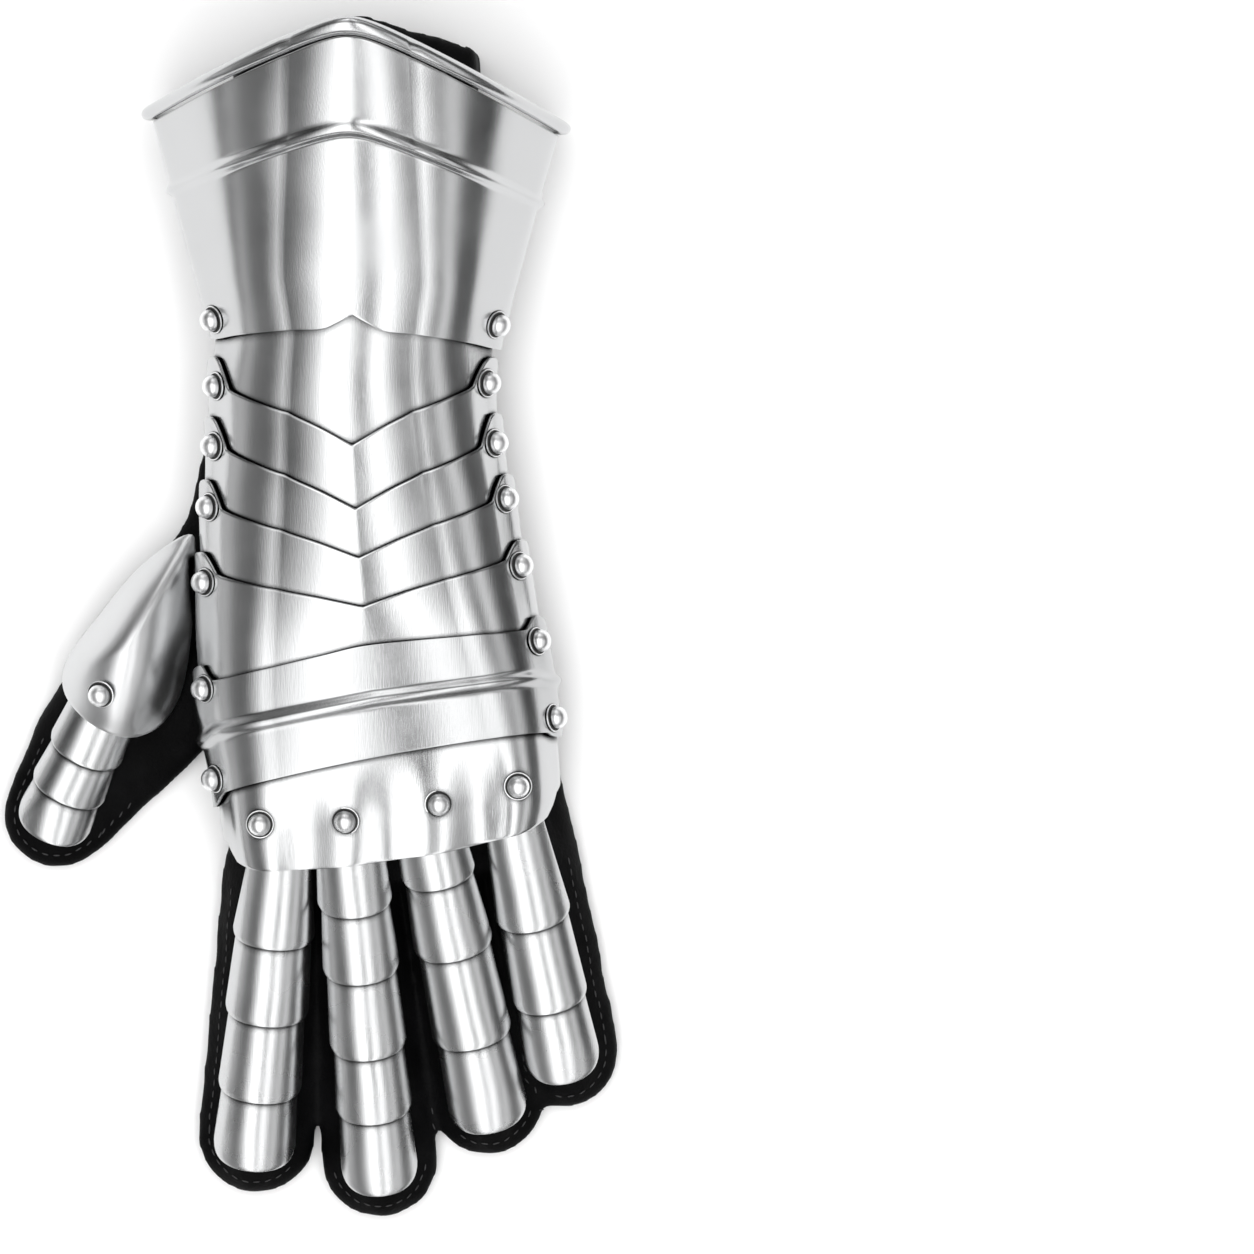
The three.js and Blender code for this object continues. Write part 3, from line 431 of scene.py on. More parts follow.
def fit(obj, node, material):
    """Gives a finished piece its material and its CAD node."""
    obj.data.materials.clear()
    obj.data.materials.append(material)
    stand_for(obj, node)


# ---------------------------------------------------------------- materials

# The sockets of a Mix node that mixes colours.
MIX_FACTOR, MIX_A, MIX_B, MIX_RESULT = 0, 6, 7, 2
# The painted shade in the steel's joints: its darkest colour, and how far past its level it fades out.
JOINT_SHADE_COLOUR = (0.012, 0.012, 0.012)
JOINT_SHADE_FADE = 0.24
HANDLED = 0.93               # how bright the handled patches of steel are, against the rest
FINER, DULLER = 0.04, 0.05   # how far the patches' roughness departs from the steel's own
BRUSH_STRETCH = 0.06         # of the brushing's grain, along the hand

def new_material(name, **values):
    material = bpy.data.materials.new(name)
    material.use_nodes = True
    shader = material.node_tree.nodes["Principled BSDF"]
    for key, value in values.items():
        shader.inputs[key.replace("_", " ")].default_value = value
    return material, shader


def add_node(owner, kind, settings=None, **inputs):
    node = owner.node_tree.nodes.new(kind)
    for key, value in (settings or {}).items():
        setattr(node, key, value)
    for key, value in inputs.items():
        node.inputs[key.replace("_", " ")].default_value = value
    return node


def link(owner, source, target):
    owner.node_tree.links.new(source, target)


def multiplied(owner, first, second):
    """One colour times another."""
    product = add_node(owner, "ShaderNodeMix", {"data_type": "RGBA", "blend_type": "MULTIPLY"})
    product.inputs[MIX_FACTOR].default_value = 1
    link(owner, first, product.inputs[MIX_A])
    link(owner, second, product.inputs[MIX_B])
    return product.outputs[MIX_RESULT]


def two_tones(material, source, *tones):
    """A colour that follows a source from one tone to another, each tone at its own level."""
    ramp = add_node(material, "ShaderNodeValToRGB")
    for element, (level, colour) in zip(ramp.color_ramp.elements, tones):
        element.position = level
        element.color = (*colour, 1)
    link(material, source, ramp.inputs["Fac"])
    return ramp.outputs["Color"]


def vary_roughness(material, shader, source, levels, roughness):
    spread = add_node(material, "ShaderNodeMapRange", From_Min=levels[0], From_Max=levels[1],
                      To_Min=roughness[0], To_Max=roughness[1])
    link(material, source, spread.inputs["Value"])
    link(material, spread.outputs["Result"], shader.inputs["Roughness"])


def add_bumps(material, shader, *layers):
    """Bumps laid on each other: the height of each, its strength and its depth in metres."""
    target = shader.inputs["Normal"]
    for height, strength, depth in reversed(layers):
        bump = add_node(material, "ShaderNodeBump", Strength=strength, Distance=depth)
        link(material, height, bump.inputs["Height"])
        link(material, bump.outputs["Normal"], target)
        target = bump.inputs["Normal"]


def painted_joint_shade(material, colour, reach, shade_level):
    """Painted shade: darkens the steel under the edges of laps and round rivets, wherever ambient occlusion
    finds close surfaces.
    """
    nearness = add_node(material, "ShaderNodeAmbientOcclusion", {"samples": 8}, Distance=reach * MM)
    shade = two_tones(material, nearness.outputs["AO"],
                      (shade_level, JOINT_SHADE_COLOUR), (shade_level + JOINT_SHADE_FADE, (1, 1, 1)))
    return multiplied(material, colour, shade)


def polished_steel(name, colour, rough, brushing, waves, reach=2.3, shade_level=0.6):
    """Polished sheet: faint brushing, slow waves left by the hammer, duller patches from handling, and
    painted shade in its joints.
    """
    material, shader = new_material(name, Metallic=1.0)
    coordinates = add_node(material, "ShaderNodeTexCoord").outputs["Object"]
    stretched = add_node(material, "ShaderNodeMapping", Scale=(1, BRUSH_STRETCH, 1))
    grain = add_node(material, "ShaderNodeTexNoise", Scale=2600, Detail=3, Roughness=0.6)
    patches = add_node(material, "ShaderNodeTexNoise", Scale=38, Detail=4, Roughness=0.55)
    wave = add_node(material, "ShaderNodeTexNoise", Scale=26, Detail=1.5, Roughness=0.4)
    link(material, stretched.outputs["Vector"], grain.inputs["Vector"])
    for target in (stretched, patches, wave):
        link(material, coordinates, target.inputs["Vector"])
    low, high = 0.3, 0.7
    patch = patches.outputs["Fac"]
    tone = two_tones(material, patch, (low, [c * HANDLED for c in colour]), (high, colour))
    # The steel's colour is darkened near its joints by painted shade.
    link(material, painted_joint_shade(material, tone, reach, shade_level), shader.inputs["Base Color"])
    vary_roughness(material, shader, patch, (low, high), (rough - FINER, rough + DULLER))
    add_bumps(material, shader, (wave.outputs["Fac"], waves, 0.002), (grain.outputs["Fac"], brushing, 0.0002))
    return material


def black_leather(name):
    """Smooth black leather: a fine pebbled grain, soft creases and a dull shine where it is rubbed."""
    material, shader = new_material(name, Specular_IOR_Level=0.06)
    coordinates = add_node(material, "ShaderNodeTexCoord").outputs["Object"]
    pebble = add_node(material, "ShaderNodeTexVoronoi", {"feature": "SMOOTH_F1"}, Scale=1100)
    crease = add_node(material, "ShaderNodeTexNoise", Scale=110, Detail=5, Roughness=0.6, Distortion=0.6)
    rub = add_node(material, "ShaderNodeTexNoise", Scale=45, Detail=4, Roughness=0.6)
    for texture in (pebble, crease, rub):
        link(material, coordinates, texture.inputs["Vector"])
    rubbed = rub.outputs["Fac"]
    tone = two_tones(material, rubbed, (0.35, (0.0008, 0.0008, 0.0009)), (0.75, (0.004, 0.004, 0.0043)))
    link(material, tone, shader.inputs["Base Color"])
    vary_roughness(material, shader, rubbed, (0, 1), (0.68, 0.48))
    add_bumps(material, shader,
              (crease.outputs["Fac"], 0.5, 0.0012), (pebble.outputs["Distance"], 0.35, 0.0002))
    return material


# Each steel: its colour, roughness, brushing and waves, and how far and how easily painted shade darkens its
# joints.
plate_steel = polished_steel("plate_steel", (0.6, 0.605, 0.61), 0.2, 0.1, 0.22)
wrist_steel = polished_steel("wrist_steel", (0.6, 0.605, 0.61), 0.2, 0.1, 0.22, reach=4.5)
knuckle_steel = polished_steel("knuckle_steel", (0.54, 0.545, 0.55), 0.22, 0.12, 0.25)
lame_steel = polished_steel("lame_steel", (0.6, 0.605, 0.61), 0.2, 0.1, 0.22, reach=2.6, shade_level=0.7)
scale_steel = polished_steel("scale_steel", (0.64, 0.645, 0.65), 0.26, 0.12, 0.3, reach=2.6, shade_level=0.7)
thumb_steel = polished_steel("thumb_steel", (0.7, 0.705, 0.71), 0.34, 0.12, 0.2)
rivet_steel = polished_steel("rivet_steel", (0.92, 0.925, 0.93), 0.34, 0.05, 0.1, reach=0.6)
# Painted shade: the rivets' stems are coloured near black for the shadow under their domes.
stem_shade_black, _ = new_material("stem_shade_black", Base_Color=(0.02, 0.02, 0.02, 1), Roughness=0.6, Metallic=0.3)
leather = black_leather("black_leather")
thread, _ = new_material("black_thread", Base_Color=(0.022, 0.022, 0.023, 1), Roughness=0.6)

# ---------------------------------------------------------------- the plates of the hand and wrist


def lame_edge(ears, middle):
    """The edge of a lame, from side to side, with its ears and its middle at these places along the hand."""
    return lambda u: ears + (middle - ears) * smooth_value(V_EDGE, abs(u))


edges = [lame_edge(ears, middle) for _, ears, middle, _, _ in LAMES]
edges.append(lambda u: smooth_value(KNUCKLE_TOP, u))
LAST_LAME = len(LAMES) - 1


def lame_rise(index, u, y):
    """A full lap at a lame's upper edge, none where the next lame begins, and a lap below that lame under
    it."""
    start, following = edges[index](u), edges[index + 1](u)
    if y >= following or index == LAST_LAME:
        return LAP * max(0, (y - following) / (start - following))
    return lame_rise(index + 1, u, y) - LAP


def back_plate(name, top, bottom, rise, across=96, along=36, seed=0.0):
    def point(u, t):
        y = mix(bottom(u), top(u), (t + 1) / 2)
        spot = raised(BACK, u, y, rise(u, y))
        spot.z += hammered(spot, "back", seed)
        return spot

    return sheet_metal(shaped_grid(name + "_sheet", across, along, point), SHEET)


def make_lames():
    for index, (name, _, _, hidden_ears, hidden_middle) in enumerate(LAMES):
        plate = back_plate(
            name, edges[index], lame_edge(hidden_ears, hidden_middle),
            lambda u, y, index=index: lame_rise(index, u, y), seed=index + 1.5)
        fit(plate, name, plate_steel)


def make_wrist_plate():
    plate = back_plate(
        "wrist_plate", lambda u: WRIST_TOP, lame_edge(*WRIST_HIDDEN),
        lambda u, y: 0 if y >= edges[0](u) else lame_rise(0, u, y) - LAP, along=44, seed=0.5)
    fit(plate, "wrist_plate", wrist_steel)


def swell(distance, half):
    """1 in the middle of a rounded ridge, and 0 past its half-width."""
    return math.cos(math.pi / 2 * min(1, abs(distance) / half)) ** 2


def make_knuckle_plate():
    def rise(u, y):
        return LAP + BEAD_RISE * swell(y - smooth_value(KNUCKLE_BEAD, abs(u)), BEAD_HALF)

    plate = back_plate(
        "knuckle_plate", lambda u: smooth_value(KNUCKLE_TOP, u),
        lambda u: smooth_value(KNUCKLE_BOTTOM, u), rise, along=72, seed=6.5)
    fit(plate, "knuckle_plate", knuckle_steel)


def make_knuckle_lame():
    def flute(u, y):
        out = math.copysign(half_section(section_at(BACK, y), abs(u)).x, u)
        dip = sum(swell(out - valley, FLUTE_HALF) for valley in FLUTE_VALLEYS)
        return -FLUTE_DEPTH * dip * clamp((smooth_value(KNUCKLE_BOTTOM, 0) - y) / FLUTE_GROWTH)

    plate = back_plate(
        "knuckle_lame", lambda u: KNUCKLE_LAME_TOP,
        lambda u: smooth_value(KNUCKLE_LAME_BOTTOM, abs(u)), flute, across=140, along=40, seed=7.5)
    fit(plate, "knuckle_lame", lame_steel)


# ---------------------------------------------------------------- the cuff


def make_cuff():
    def point(u, t):
        y = mix(smooth_value(CUFF_EDGE, abs(u)), CUFF_RIM - CUFF_NECK, (t + 1) / 2)
        spot = raised(CUFF, u, y, BEAD_RISE * swell(y - CUFF_BEAD, BEAD_HALF))
        spot.z += hammered(spot, "cuff", 9.5)
        return spot

    sheet = sheet_metal(shaped_grid("cuff_sheet", columns=120, rows=130, point=point), SHEET)

    # The rim rolls outward round a wire, into a closed tube.
    def roll(u, t):
        angle = math.pi * t
        y = CUFF_RIM + ROLL - ROLL * math.cos(angle)
        return raised(CUFF, u, y, ROLL * math.sin(angle) + ROLL_LIFT)

    rim = shaped_grid("cuff_rim", columns=120, rows=20, point=roll)
    bpy.ops.object.mode_set(mode="EDIT")
    bpy.ops.mesh.select_all(action="SELECT")
    bpy.ops.mesh.remove_doubles(threshold=RIM_MERGE * MM)
    bpy.ops.mesh.normals_make_consistent(inside=False)
    bpy.ops.mesh.select_all(action="DESELECT")
    bpy.ops.mesh.select_non_manifold()
    bpy.ops.mesh.edge_face_add()
    bpy.ops.object.mode_set(mode="OBJECT")
    bpy.ops.object.shade_smooth_by_angle(angle=math.radians(ROLL_ANGLE))
    fit(join("rolled_cuff", [sheet, rim]), "cuff", plate_steel)


# ---------------------------------------------------------------- finger scales


def crown_at(finger, along):
    """How high a finger's scales stand at a distance from its root: lower to the tip, and dipping over it."""
    root, tip, _, crown, _ = FINGERS[finger]
    length = math.dist(root, tip)
    left = clamp(1 - along / length)
    dip = TIP_DIP_FALL * max(0, (along - length) / TIP_DIP_LENGTH + 1) ** 2
    return mix(crown[1], crown[0], left**CROWN_EASE) - dip


def make_scale(finger, index):
    root, tip, half_widths, _, ends = FINGERS[finger]
    end = ends[index]
    cover_end = 0 if index == 0 else ends[index - 1]
    start = 0 if index == 0 else cover_end - SCALE_BOW - SCALE_COVER
    bow = TIP_BOW if index == len(ends) - 1 else SCALE_BOW
    onward = (Vector(tip) - Vector(root)).normalized()
    name = f"{finger}_scale_{index + 1}"

    def point(u, t):
        edge = end - bow * (1 - math.sqrt(max(0, 1 - (SCALE_CORNER * u) ** 2)))
        along = mix(edge, start, (t + 1) / 2)
        rise = -SCALE_LAP * (end - along) / (end - cover_end)
        half = mix(half_widths[0], half_widths[1], clamp(along / SCALE_GROWTH))
        angle = u * math.asin(half / SCALE_CROWN)
        radius = SCALE_CROWN + rise
        across = radius * math.sin(angle)
        height = crown_at(finger, along) - SCALE_CROWN + radius * math.cos(angle)
        spot = Vector((root[0] + onward.x * along - onward.y * across,
                       root[1] + onward.y * along + onward.x * across, height))
        spot.z += hammered(spot, "scale", index + 3.5)
        return spot

    scale = sheet_metal(shaped_grid(name + "_sheet", columns=36, rows=24, point=point), SCALE_SHEET)
    fit(scale, name, scale_steel)


# ---------------------------------------------------------------- the thumb plate


def closed_curve(points, share):
    """A smooth closed curve through the points, at a share of the way round."""
    count = len(points)
    place = share % 1 * count
    i = int(place)
    p = [Vector(points[(i + k) % count]) for k in (-1, 0, 1, 2)]
    gaps = [max((p[k + 1] - p[k]).length ** 0.5, 1e-6) for k in range(3)]
    slope_a = (p[1] - p[0]) / gaps[0] - (p[2] - p[0]) / (gaps[0] + gaps[1]) + (p[2] - p[1]) / gaps[1]
    slope_b = (p[2] - p[1]) / gaps[1] - (p[3] - p[1]) / (gaps[1] + gaps[2]) + (p[3] - p[2]) / gaps[2]
    return hermite(place - i, p[1], p[2], slope_a * gaps[1], slope_b * gaps[1])


def thumb_dome(spot):
    """How high the plate's dome is at a place, before it is drawn to the rim."""
    away = spot.xy - THUMB_PEAK.xy
    along, across = away.dot(THUMB_AXIS), away.cross(THUMB_AXIS)
    return THUMB_PEAK.z - THUMB_CURVES[0] * along**2 - THUMB_CURVES[1] * across**2


def thumb_folds(spot):
    """How deep the folds toward the palm are at a place: each runs along a line and fades at its ends."""
    depth = 0
    for start, end, deepest, half in THUMB_FOLDS:
        run = end - start
        share = clamp((spot.xy - start).dot(run) / run.length_squared)
        wander = FOLD_WANDER * math.sin(share * math.tau * FOLD_WAVES)
        side = (spot.xy - start).dot(Vector((run.y, -run.x)).normalized()) - wander
        depth += deepest * math.exp(-((side / half) ** 2)) * math.sin(math.pi * share) ** FOLD_FADE
    return depth


def make_thumb_plate():
    start_clean()
    bpy.ops.mesh.primitive_uv_sphere_add(segments=96, ring_count=64, radius=1)
    plate = named("thumb_plate_sheet")
    delete_vertices(plate, lambda spot: spot.z < -THUMB_RIM_TOLERANCE)
    for vertex in plate.data.vertices:
        out = 1 - math.asin(clamp(vertex.co.z)) / (math.pi / 2)
        rim = closed_curve(THUMB_OUTLINE, math.atan2(vertex.co.y, vertex.co.x) / math.tau)
        spot = THUMB_PEAK.lerp(rim, out)
        spot.z = thumb_dome(spot) + (rim.z - thumb_dome(rim)) * out**2
        vertex.co = spot * MM
        vertex.select = THUMB_RIM_TOLERANCE * 2 < out < THUMB_SMOOTH_END
    only(plate)
    bpy.ops.object.mode_set(mode="EDIT")
    bpy.ops.mesh.vertices_smooth(factor=0.5, repeat=THUMB_SMOOTHING)
    bpy.ops.mesh.select_all(action="SELECT")
    bpy.ops.mesh.normals_make_consistent(inside=False)
    bpy.ops.object.mode_set(mode="OBJECT")
    for vertex in plate.data.vertices:
        spot = vertex.co / MM
        vertex.co.z += (hammered(spot, "thumb", 2.5) - thumb_folds(spot)) * MM
    sheet_metal(plate, SHEET)
    fit(plate, "thumb_plate", thumb_steel)


# ---------------------------------------------------------------- rivets


def rivet_place(node):
    """The tip of a CAD rivet's head and the way that it points."""
    spots = np.array([vertex.co for vertex in frame["nodes"][node].data.vertices])
    spots = np.unique(spots.round(7), axis=0)
    middle = spots.mean(axis=0)
    # A rivet is round, so its axis is the way whose spread differs from the two others.
    spreads, ways = np.linalg.eigh(np.cov((spots - middle).T))
    axis = Vector(ways[:, 0 if spreads[1] - spreads[0] > spreads[2] - spreads[1] else 2])
    if axis.z < 0:
        axis = -axis
    tip = max((Vector(spot) - Vector(middle)).dot(axis) for spot in spots)
    return Vector(middle) + axis * tip, axis


def model_rivet():
    """One rivet with the tip of its dome at the origin: a polished dome, a short stem painted near black as
    the shade under the dome, and a thin washer.
    """
    start_clean()
    bpy.ops.mesh.primitive_uv_sphere_add(segments=40, ring_count=24, radius=RIVET_DOME * MM)
    dome = named("rivet_dome")
    bpy.ops.object.mode_set(mode="EDIT")
    bpy.ops.mesh.select_all(action="SELECT")
    bpy.ops.mesh.bisect(
        plane_co=(0, 0, -RIVET_FOOT * MM), plane_no=(0, 0, 1), clear_inner=True, use_fill=True)
    bpy.ops.mesh.select_all(action="SELECT")
    bpy.ops.transform.resize(value=(1, 1, RIVET_RISE / RIVET_DOME))
    bpy.ops.transform.translate(value=(0, 0, -RIVET_RISE * MM))
    bpy.ops.object.mode_set(mode="OBJECT")
    base = -RIVET_RISE - RIVET_STEM_RISE
    parts = [dome]
    for name, radius, bottom, top in RIVET_LAYERS:
        low, high = base + bottom, base + top
        start_clean()
        bpy.ops.mesh.primitive_cylinder_add(
            vertices=40, radius=radius * MM, depth=(high - low) * MM, location=(0, 0, (low + high) / 2 * MM))
        part = named(name)
        settle(part)
        apply_modifier(part, "BEVEL", width=RIVET_BEVEL * MM, segments=2, limit_method="ANGLE")
        parts.append(part)
    # The stem takes the near-black painted shade.
    for part, material in zip(parts, (rivet_steel, stem_shade_black, rivet_steel)):
        part.data.materials.append(material)
    rivet = join("rivet_pattern", parts)
    bpy.ops.object.shade_smooth_by_angle(angle=math.radians(35))
    return rivet


def make_rivets():
    pattern = model_rivet()
    for node in frame["nodes"]:
        if "rivet" not in node and "stud" not in node:
            continue
        tip, axis = rivet_place(node)
        rivet = bpy.data.objects.new(node + "_head", pattern.data.copy())
        bpy.context.collection.objects.link(rivet)
        rivet.data.transform(Matrix.Translation(tip) @ axis.to_track_quat("Z", "Y").to_matrix().to_4x4())
        stand_for(rivet, node)
    bpy.data.objects.remove(pattern)


# ---------------------------------------------------------------- the glove


def skins_of_the_glove():
    """The outer and the inner skin of the CAD glove, as two open shells."""
    start_clean()
    glove = frame["nodes"]["leather_glove"].copy()
    glove.data = glove.data.copy()
    bpy.context.collection.objects.link(glove)
    only(glove)
    bpy.ops.object.mode_set(mode="EDIT")
    bpy.ops.mesh.select_all(action="SELECT")
    bpy.ops.mesh.remove_doubles(threshold=SKIN_MERGE * MM)
    bpy.ops.mesh.select_all(action="DESELECT")
    bpy.ops.mesh.select_mode(type="FACE")
    bpy.ops.object.mode_set(mode="OBJECT")
    for polygon in glove.data.polygons:
        polygon.select = polygon.normal.y > MOUTH_FACING and polygon.center.y > MOUTH_START
    bpy.ops.object.mode_set(mode="EDIT")
    bpy.ops.mesh.delete(type="FACE")
    bpy.ops.mesh.separate(type="LOOSE")
    bpy.ops.object.mode_set(mode="OBJECT")
    shells = sorted(bpy.context.selected_objects, key=lambda shell: -shell.dimensions.x)
    for scrap in shells[2:]:
        bpy.data.objects.remove(scrap)
    return shells[:2]


def close_mouth(shell, further=0):
    """Closes a skin at the sleeve, after drawing its edge further out along the arm if that is asked."""
    only(shell)
    bpy.ops.object.mode_set(mode="EDIT")
    bpy.ops.mesh.select_all(action="DESELECT")
    bpy.ops.mesh.select_mode(type="EDGE")
    bpy.ops.mesh.select_non_manifold()
    if further:
        bpy.ops.mesh.extrude_edges_move(TRANSFORM_OT_translate={"value": (0, further * MM, 0)})
    bpy.ops.mesh.edge_face_add()
    bpy.ops.mesh.select_all(action="SELECT")
    bpy.ops.mesh.quads_convert_to_tris()
    bpy.ops.mesh.normals_make_consistent(inside=False)
    bpy.ops.object.mode_set(mode="OBJECT")


def crease(point):
    """How far the leather swells or sinks at a point: broad folds across it, and small ones between them."""
    p = point / MM
    return MM * sum(depth * noise.noise(Vector((p.x / x, p.y / y, p.z / z))) for depth, (x, y, z) in CREASES)


def pad(start, end, half):
    """A rounded bar of leather from one place to another, lying on the floor."""
    start, end = Vector(start), Vector(end)
    start_clean()
    bpy.ops.mesh.primitive_uv_sphere_add(segments=64, ring_count=32, radius=half)
    piece = named("glove_pad")
    run = end - start
    turn = Matrix.Rotation(math.atan2(run.y, run.x), 4, "Z")
    for vertex in piece.data.vertices:
        spot = vertex.co.copy()
        spot.z *= PAD_HALF_HEIGHT / half
        spot.x += run.length if spot.x > 0 else 0
        vertex.co = (turn @ spot + start.to_3d() + Vector((0, 0, PAD_HALF_HEIGHT))) * MM
    return piece


def glove_pads():
    """The leather round each finger's tip, and the web between the thumb and the palm."""
    for finger, half in GLOVE_HALVES.items():
        root, tip, _, _, _ = FINGERS[finger]
        root, tip = Vector(root), Vector(tip)
        onward = (tip - root).normalized()
        yield pad(root + onward * PAD_START, tip + onward * (GLOVE_REACH - half), half)
    yield pad(*THUMB_WEB)


def hem(point):
    """The doubled leather round the sleeve's mouth, with its sewn groove."""
    from_mouth = (cad_box[1].y - point.y - abs(point.x) * MOUTH_SLOPE) / MM
    doubled = HEM_RISE * clamp((HEM_WIDTH + 1 - from_mouth) / HEM_EASE)
    groove = HEM_GROOVE * math.exp(-((from_mouth - HEM_WIDTH) / HEM_GROOVE_HALF) ** 2)
    return (doubled - groove) * MM


def make_glove():
    """The skin of the CAD glove, rounded and creased, with its hollow cut out again."""
    outer, inner = skins_of_the_glove()
    close_mouth(outer)
    close_mouth(inner, further=MOUTH_REACH)
    outer = join("sewn_glove", [outer, *glove_pads()])
    apply_modifier(outer, "REMESH", mode="VOXEL", voxel_size=GLOVE_VOXEL * MM)
    apply_modifier(outer, "SMOOTH", **GLOVE_SMOOTHING)
    normals = [vertex.normal.copy() for vertex in outer.data.vertices]
    for vertex, normal in zip(outer.data.vertices, normals):
        free = clamp(vertex.co.z / (GLOVE_FLAT * MM))
        vertex.co += normal * (crease(vertex.co) + hem(vertex.co) + GLOVE_SWELL * MM) * free
        vertex.co.z = max(vertex.co.z, GLOVE_FLOOR * MM)
    apply_modifier(outer, "BOOLEAN", operation="DIFFERENCE", object=inner, solver="EXACT")
    bpy.data.objects.remove(inner)
    only(outer)
    bpy.ops.object.shade_smooth_by_angle(angle=math.radians(SMOOTH_ANGLE))
    sew(outer)
    fit(outer, "leather_glove", leather)


def sewing_line():
    """Rays that run in toward the glove's edge: the middle that each aims at, and its way out."""
    for finger, (root, tip, _, _, _) in FINGERS.items():
        root, tip = Vector(root), Vector(tip)
        onward = (tip - root).normalized()
        square = Vector((-onward.y, onward.x))
        length = (tip - root).length
        half = GLOVE_HALVES[finger]
        turn_start = length + GLOVE_REACH - half
        for side in SEWN_SIDES[finger]:
            along = STITCH_START
            while along < turn_start:
                yield root + onward * along, square * side
                along += STITCH_STEP
        turns = int(math.pi * (half - STITCH_INSET) / STITCH_STEP)
        for i in range(turns + 1):
            angle = math.pi * i / turns
            yield root + onward * turn_start, square * math.cos(angle) + onward * math.sin(angle)


def sew(glove):
    """Rows of small stitches just inside the glove's edge and round the sleeve's mouth."""
    skin = BVHTree.FromObject(glove, bpy.context.evaluated_depsgraph_get())
    start_clean()
    bpy.ops.mesh.primitive_uv_sphere_add(segments=8, ring_count=6, radius=MM)
    stitch = named("stitch_pattern")
    stitch.data.transform(Matrix.Diagonal((*STITCH_SIZE, 1)))
    places = []
    for middle, out in sewing_line():
        start = (middle + out * EDGE_SEARCH).to_3d() + Vector((0, 0, STITCH_LEVEL))
        edge = skin.ray_cast(start * MM, -out.to_3d(), EDGE_SEARCH * MM)[0]
        if edge is None or (edge.xy / MM - middle).length > STITCH_REACH:
            continue
        places.append((edge.xy / MM - out * STITCH_INSET, Vector((-out.y, out.x))))
    for i in range(-MOUTH_STITCHES, MOUTH_STITCHES + 1):
        across = i * STITCH_STEP
        lip = cad_box[1].y / MM - abs(across) * MOUTH_SLOPE
        way = Vector((1, -math.copysign(MOUTH_SLOPE, across))).normalized()
        places.append((Vector((across, lip - HEM_WIDTH)), way))
    stitches = []
    for place, way in places:
        above = place.to_3d() * MM + Vector((0, 0, OVERHEAD))
        spot, normal, _, _ = skin.ray_cast(above, Vector((0, 0, -1)))
        if spot is None:
            continue
        along = (way.to_3d() - normal * way.to_3d().dot(normal)).normalized()
        turn = Matrix((along, normal.cross(along), normal)).transposed().to_4x4()
        copy = bpy.data.objects.new("stitch", stitch.data.copy())
        bpy.context.collection.objects.link(copy)
        copy.data.transform(Matrix.Translation(spot) @ turn)
        stitches.append(copy)
    bpy.data.objects.remove(stitch)
    row = join("glove_stitches", stitches)
    bpy.ops.object.shade_smooth()
    row.data.materials.append(thread)
    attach(row, body_with("leather_glove"))


make_cuff()
make_wrist_plate()
make_lames()
make_knuckle_plate()
make_knuckle_lame()
for finger, (_, _, _, _, ends) in FINGERS.items():
    for index in range(len(ends)):
        make_scale(finger, index)
make_thumb_plate()
make_rivets()
make_glove()

# ---------------------------------------------------------------- floor, light and camera


FLOOR_SIZE = 8
LAMP_SIZE = 4
LAMP_HEIGHT = 3.2
LAMP_WATTS = 70
STUDIO_STRENGTH = 2.3
# The studio's light by the angle from straight up, in degrees: toward the outer side, and toward the cuff.
LIGHT_ACROSS = (
    (-180, 0.42), (-100, 0.36), (-80, 0.3), (-62, 0.1), (-44, 0.07), (-31, 0.4), (-21, 1.0), (-2, 1.0),
    (3, 0.07), (9, 0.07), (14, 1.0), (22, 1.0), (29, 0.45), (38, 0.12), (50, 0.5), (66, 0.05), (88, 0.1),
    (104, 0.36), (180, 0.42),
)
LIGHT_ALONG = (
    (-180, 1.0), (-110, 0.8), (-90, 0.35), (-76, 0.3), (-63, 1.0), (15, 1.0), (26, 0.3), (44, 0.25),
    (60, 1.0), (80, 0.5), (180, 1.0),
)
CAMERA_PLACE = (0.08672, -0.00224, 2.23)
CAMERA_LENS = 200.06
CAMERA_SENSOR = 36
CAMERA_SIGHT = 100


def make_floor():
    start_clean()
    bpy.ops.mesh.primitive_plane_add(size=FLOOR_SIZE, location=(0, 0, cad_box[0].z))
    floor = named("floor")
    material, _ = new_material("pale_floor", Base_Color=(0.93, 0.93, 0.93, 1), Roughness=0.9)
    floor.data.materials.append(material)


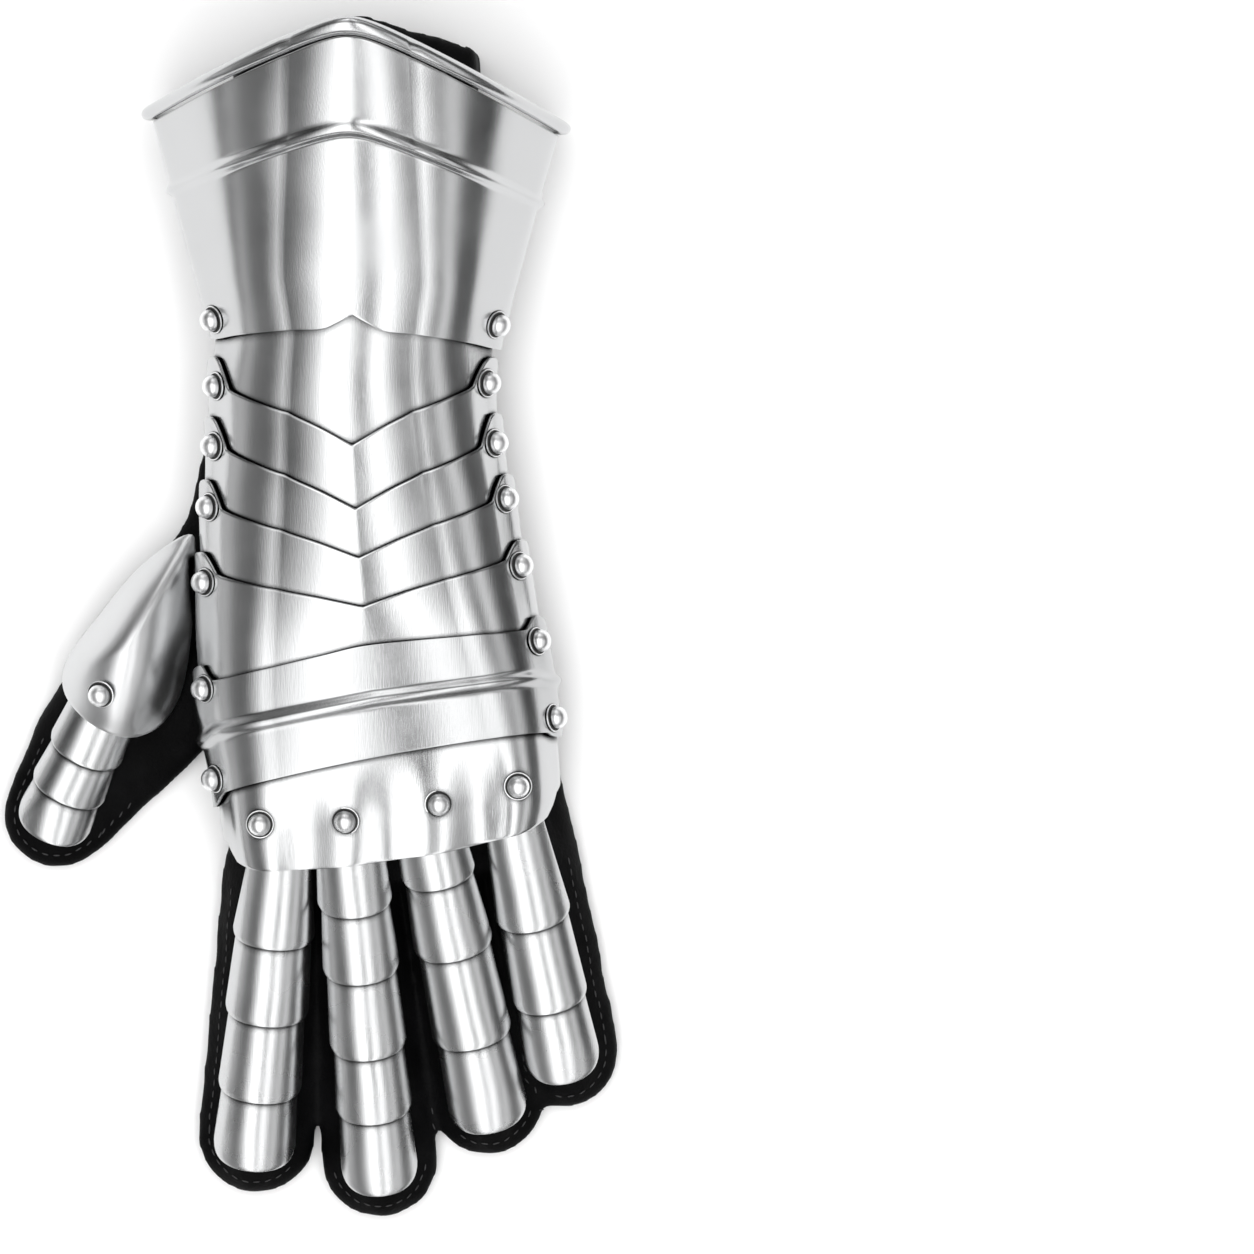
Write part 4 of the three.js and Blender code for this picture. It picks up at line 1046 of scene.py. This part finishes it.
def make_lamp():
    """A broad soft lamp overhead for the floor and the leather, which leaves the steel to the studio."""
    data = bpy.data.lights.new("soft_lamp", "AREA")
    data.size = LAMP_SIZE
    data.energy = LAMP_WATTS
    lamp = bpy.data.objects.new("soft_lamp", data)
    lamp.location = (0, 0, LAMP_HEIGHT)
    lamp.visible_glossy = False
    lamp.visible_camera = False
    bpy.context.collection.objects.link(lamp)


def banded(world, split, axis, bands):
    """Brightness by the angle from straight up toward an axis."""
    angle = add_node(world, "ShaderNodeMath", {"operation": "ARCTAN2"})
    spread = add_node(world, "ShaderNodeMapRange", From_Min=-math.pi, From_Max=math.pi)
    ramp = add_node(world, "ShaderNodeValToRGB")
    ramp.color_ramp.interpolation = "EASE"
    elements = ramp.color_ramp.elements
    elements.remove(elements[-1])
    for i, (degrees, light) in enumerate(bands):
        element = elements[0] if i == 0 else elements.new(degrees / 360 + 0.5)
        element.position = degrees / 360 + 0.5
        element.color = (light, light, light, 1)
    link(world, split.outputs[axis], angle.inputs[0])
    link(world, split.outputs["Z"], angle.inputs[1])
    link(world, angle.outputs["Value"], spread.inputs["Value"])
    link(world, spread.outputs["Result"], ramp.inputs["Fac"])
    return ramp.outputs["Color"]


def make_world():
    """A studio of long soft lights that run along the hand, with dark gaps between them."""
    world = bpy.data.worlds.new("studio")
    bpy.context.scene.world = world
    world.use_nodes = True
    way = add_node(world, "ShaderNodeTexCoord")
    split = add_node(world, "ShaderNodeSeparateXYZ")
    link(world, way.outputs["Generated"], split.inputs["Vector"])
    light = multiplied(world, banded(world, split, "X", LIGHT_ACROSS), banded(world, split, "Y", LIGHT_ALONG))
    background = world.node_tree.nodes["Background"]
    background.inputs["Strength"].default_value = STUDIO_STRENGTH
    link(world, light, background.inputs["Color"])


def make_camera():
    data = bpy.data.cameras.new("camera")
    data.lens = CAMERA_LENS
    data.sensor_width = CAMERA_SENSOR
    data.clip_end = CAMERA_SIGHT
    camera = bpy.data.objects.new("camera", data)
    camera.location = CAMERA_PLACE
    bpy.context.collection.objects.link(camera)
    bpy.context.scene.camera = camera


make_floor()
make_lamp()
make_world()
make_camera()
bpy.context.scene.view_settings.view_transform = "Standard"
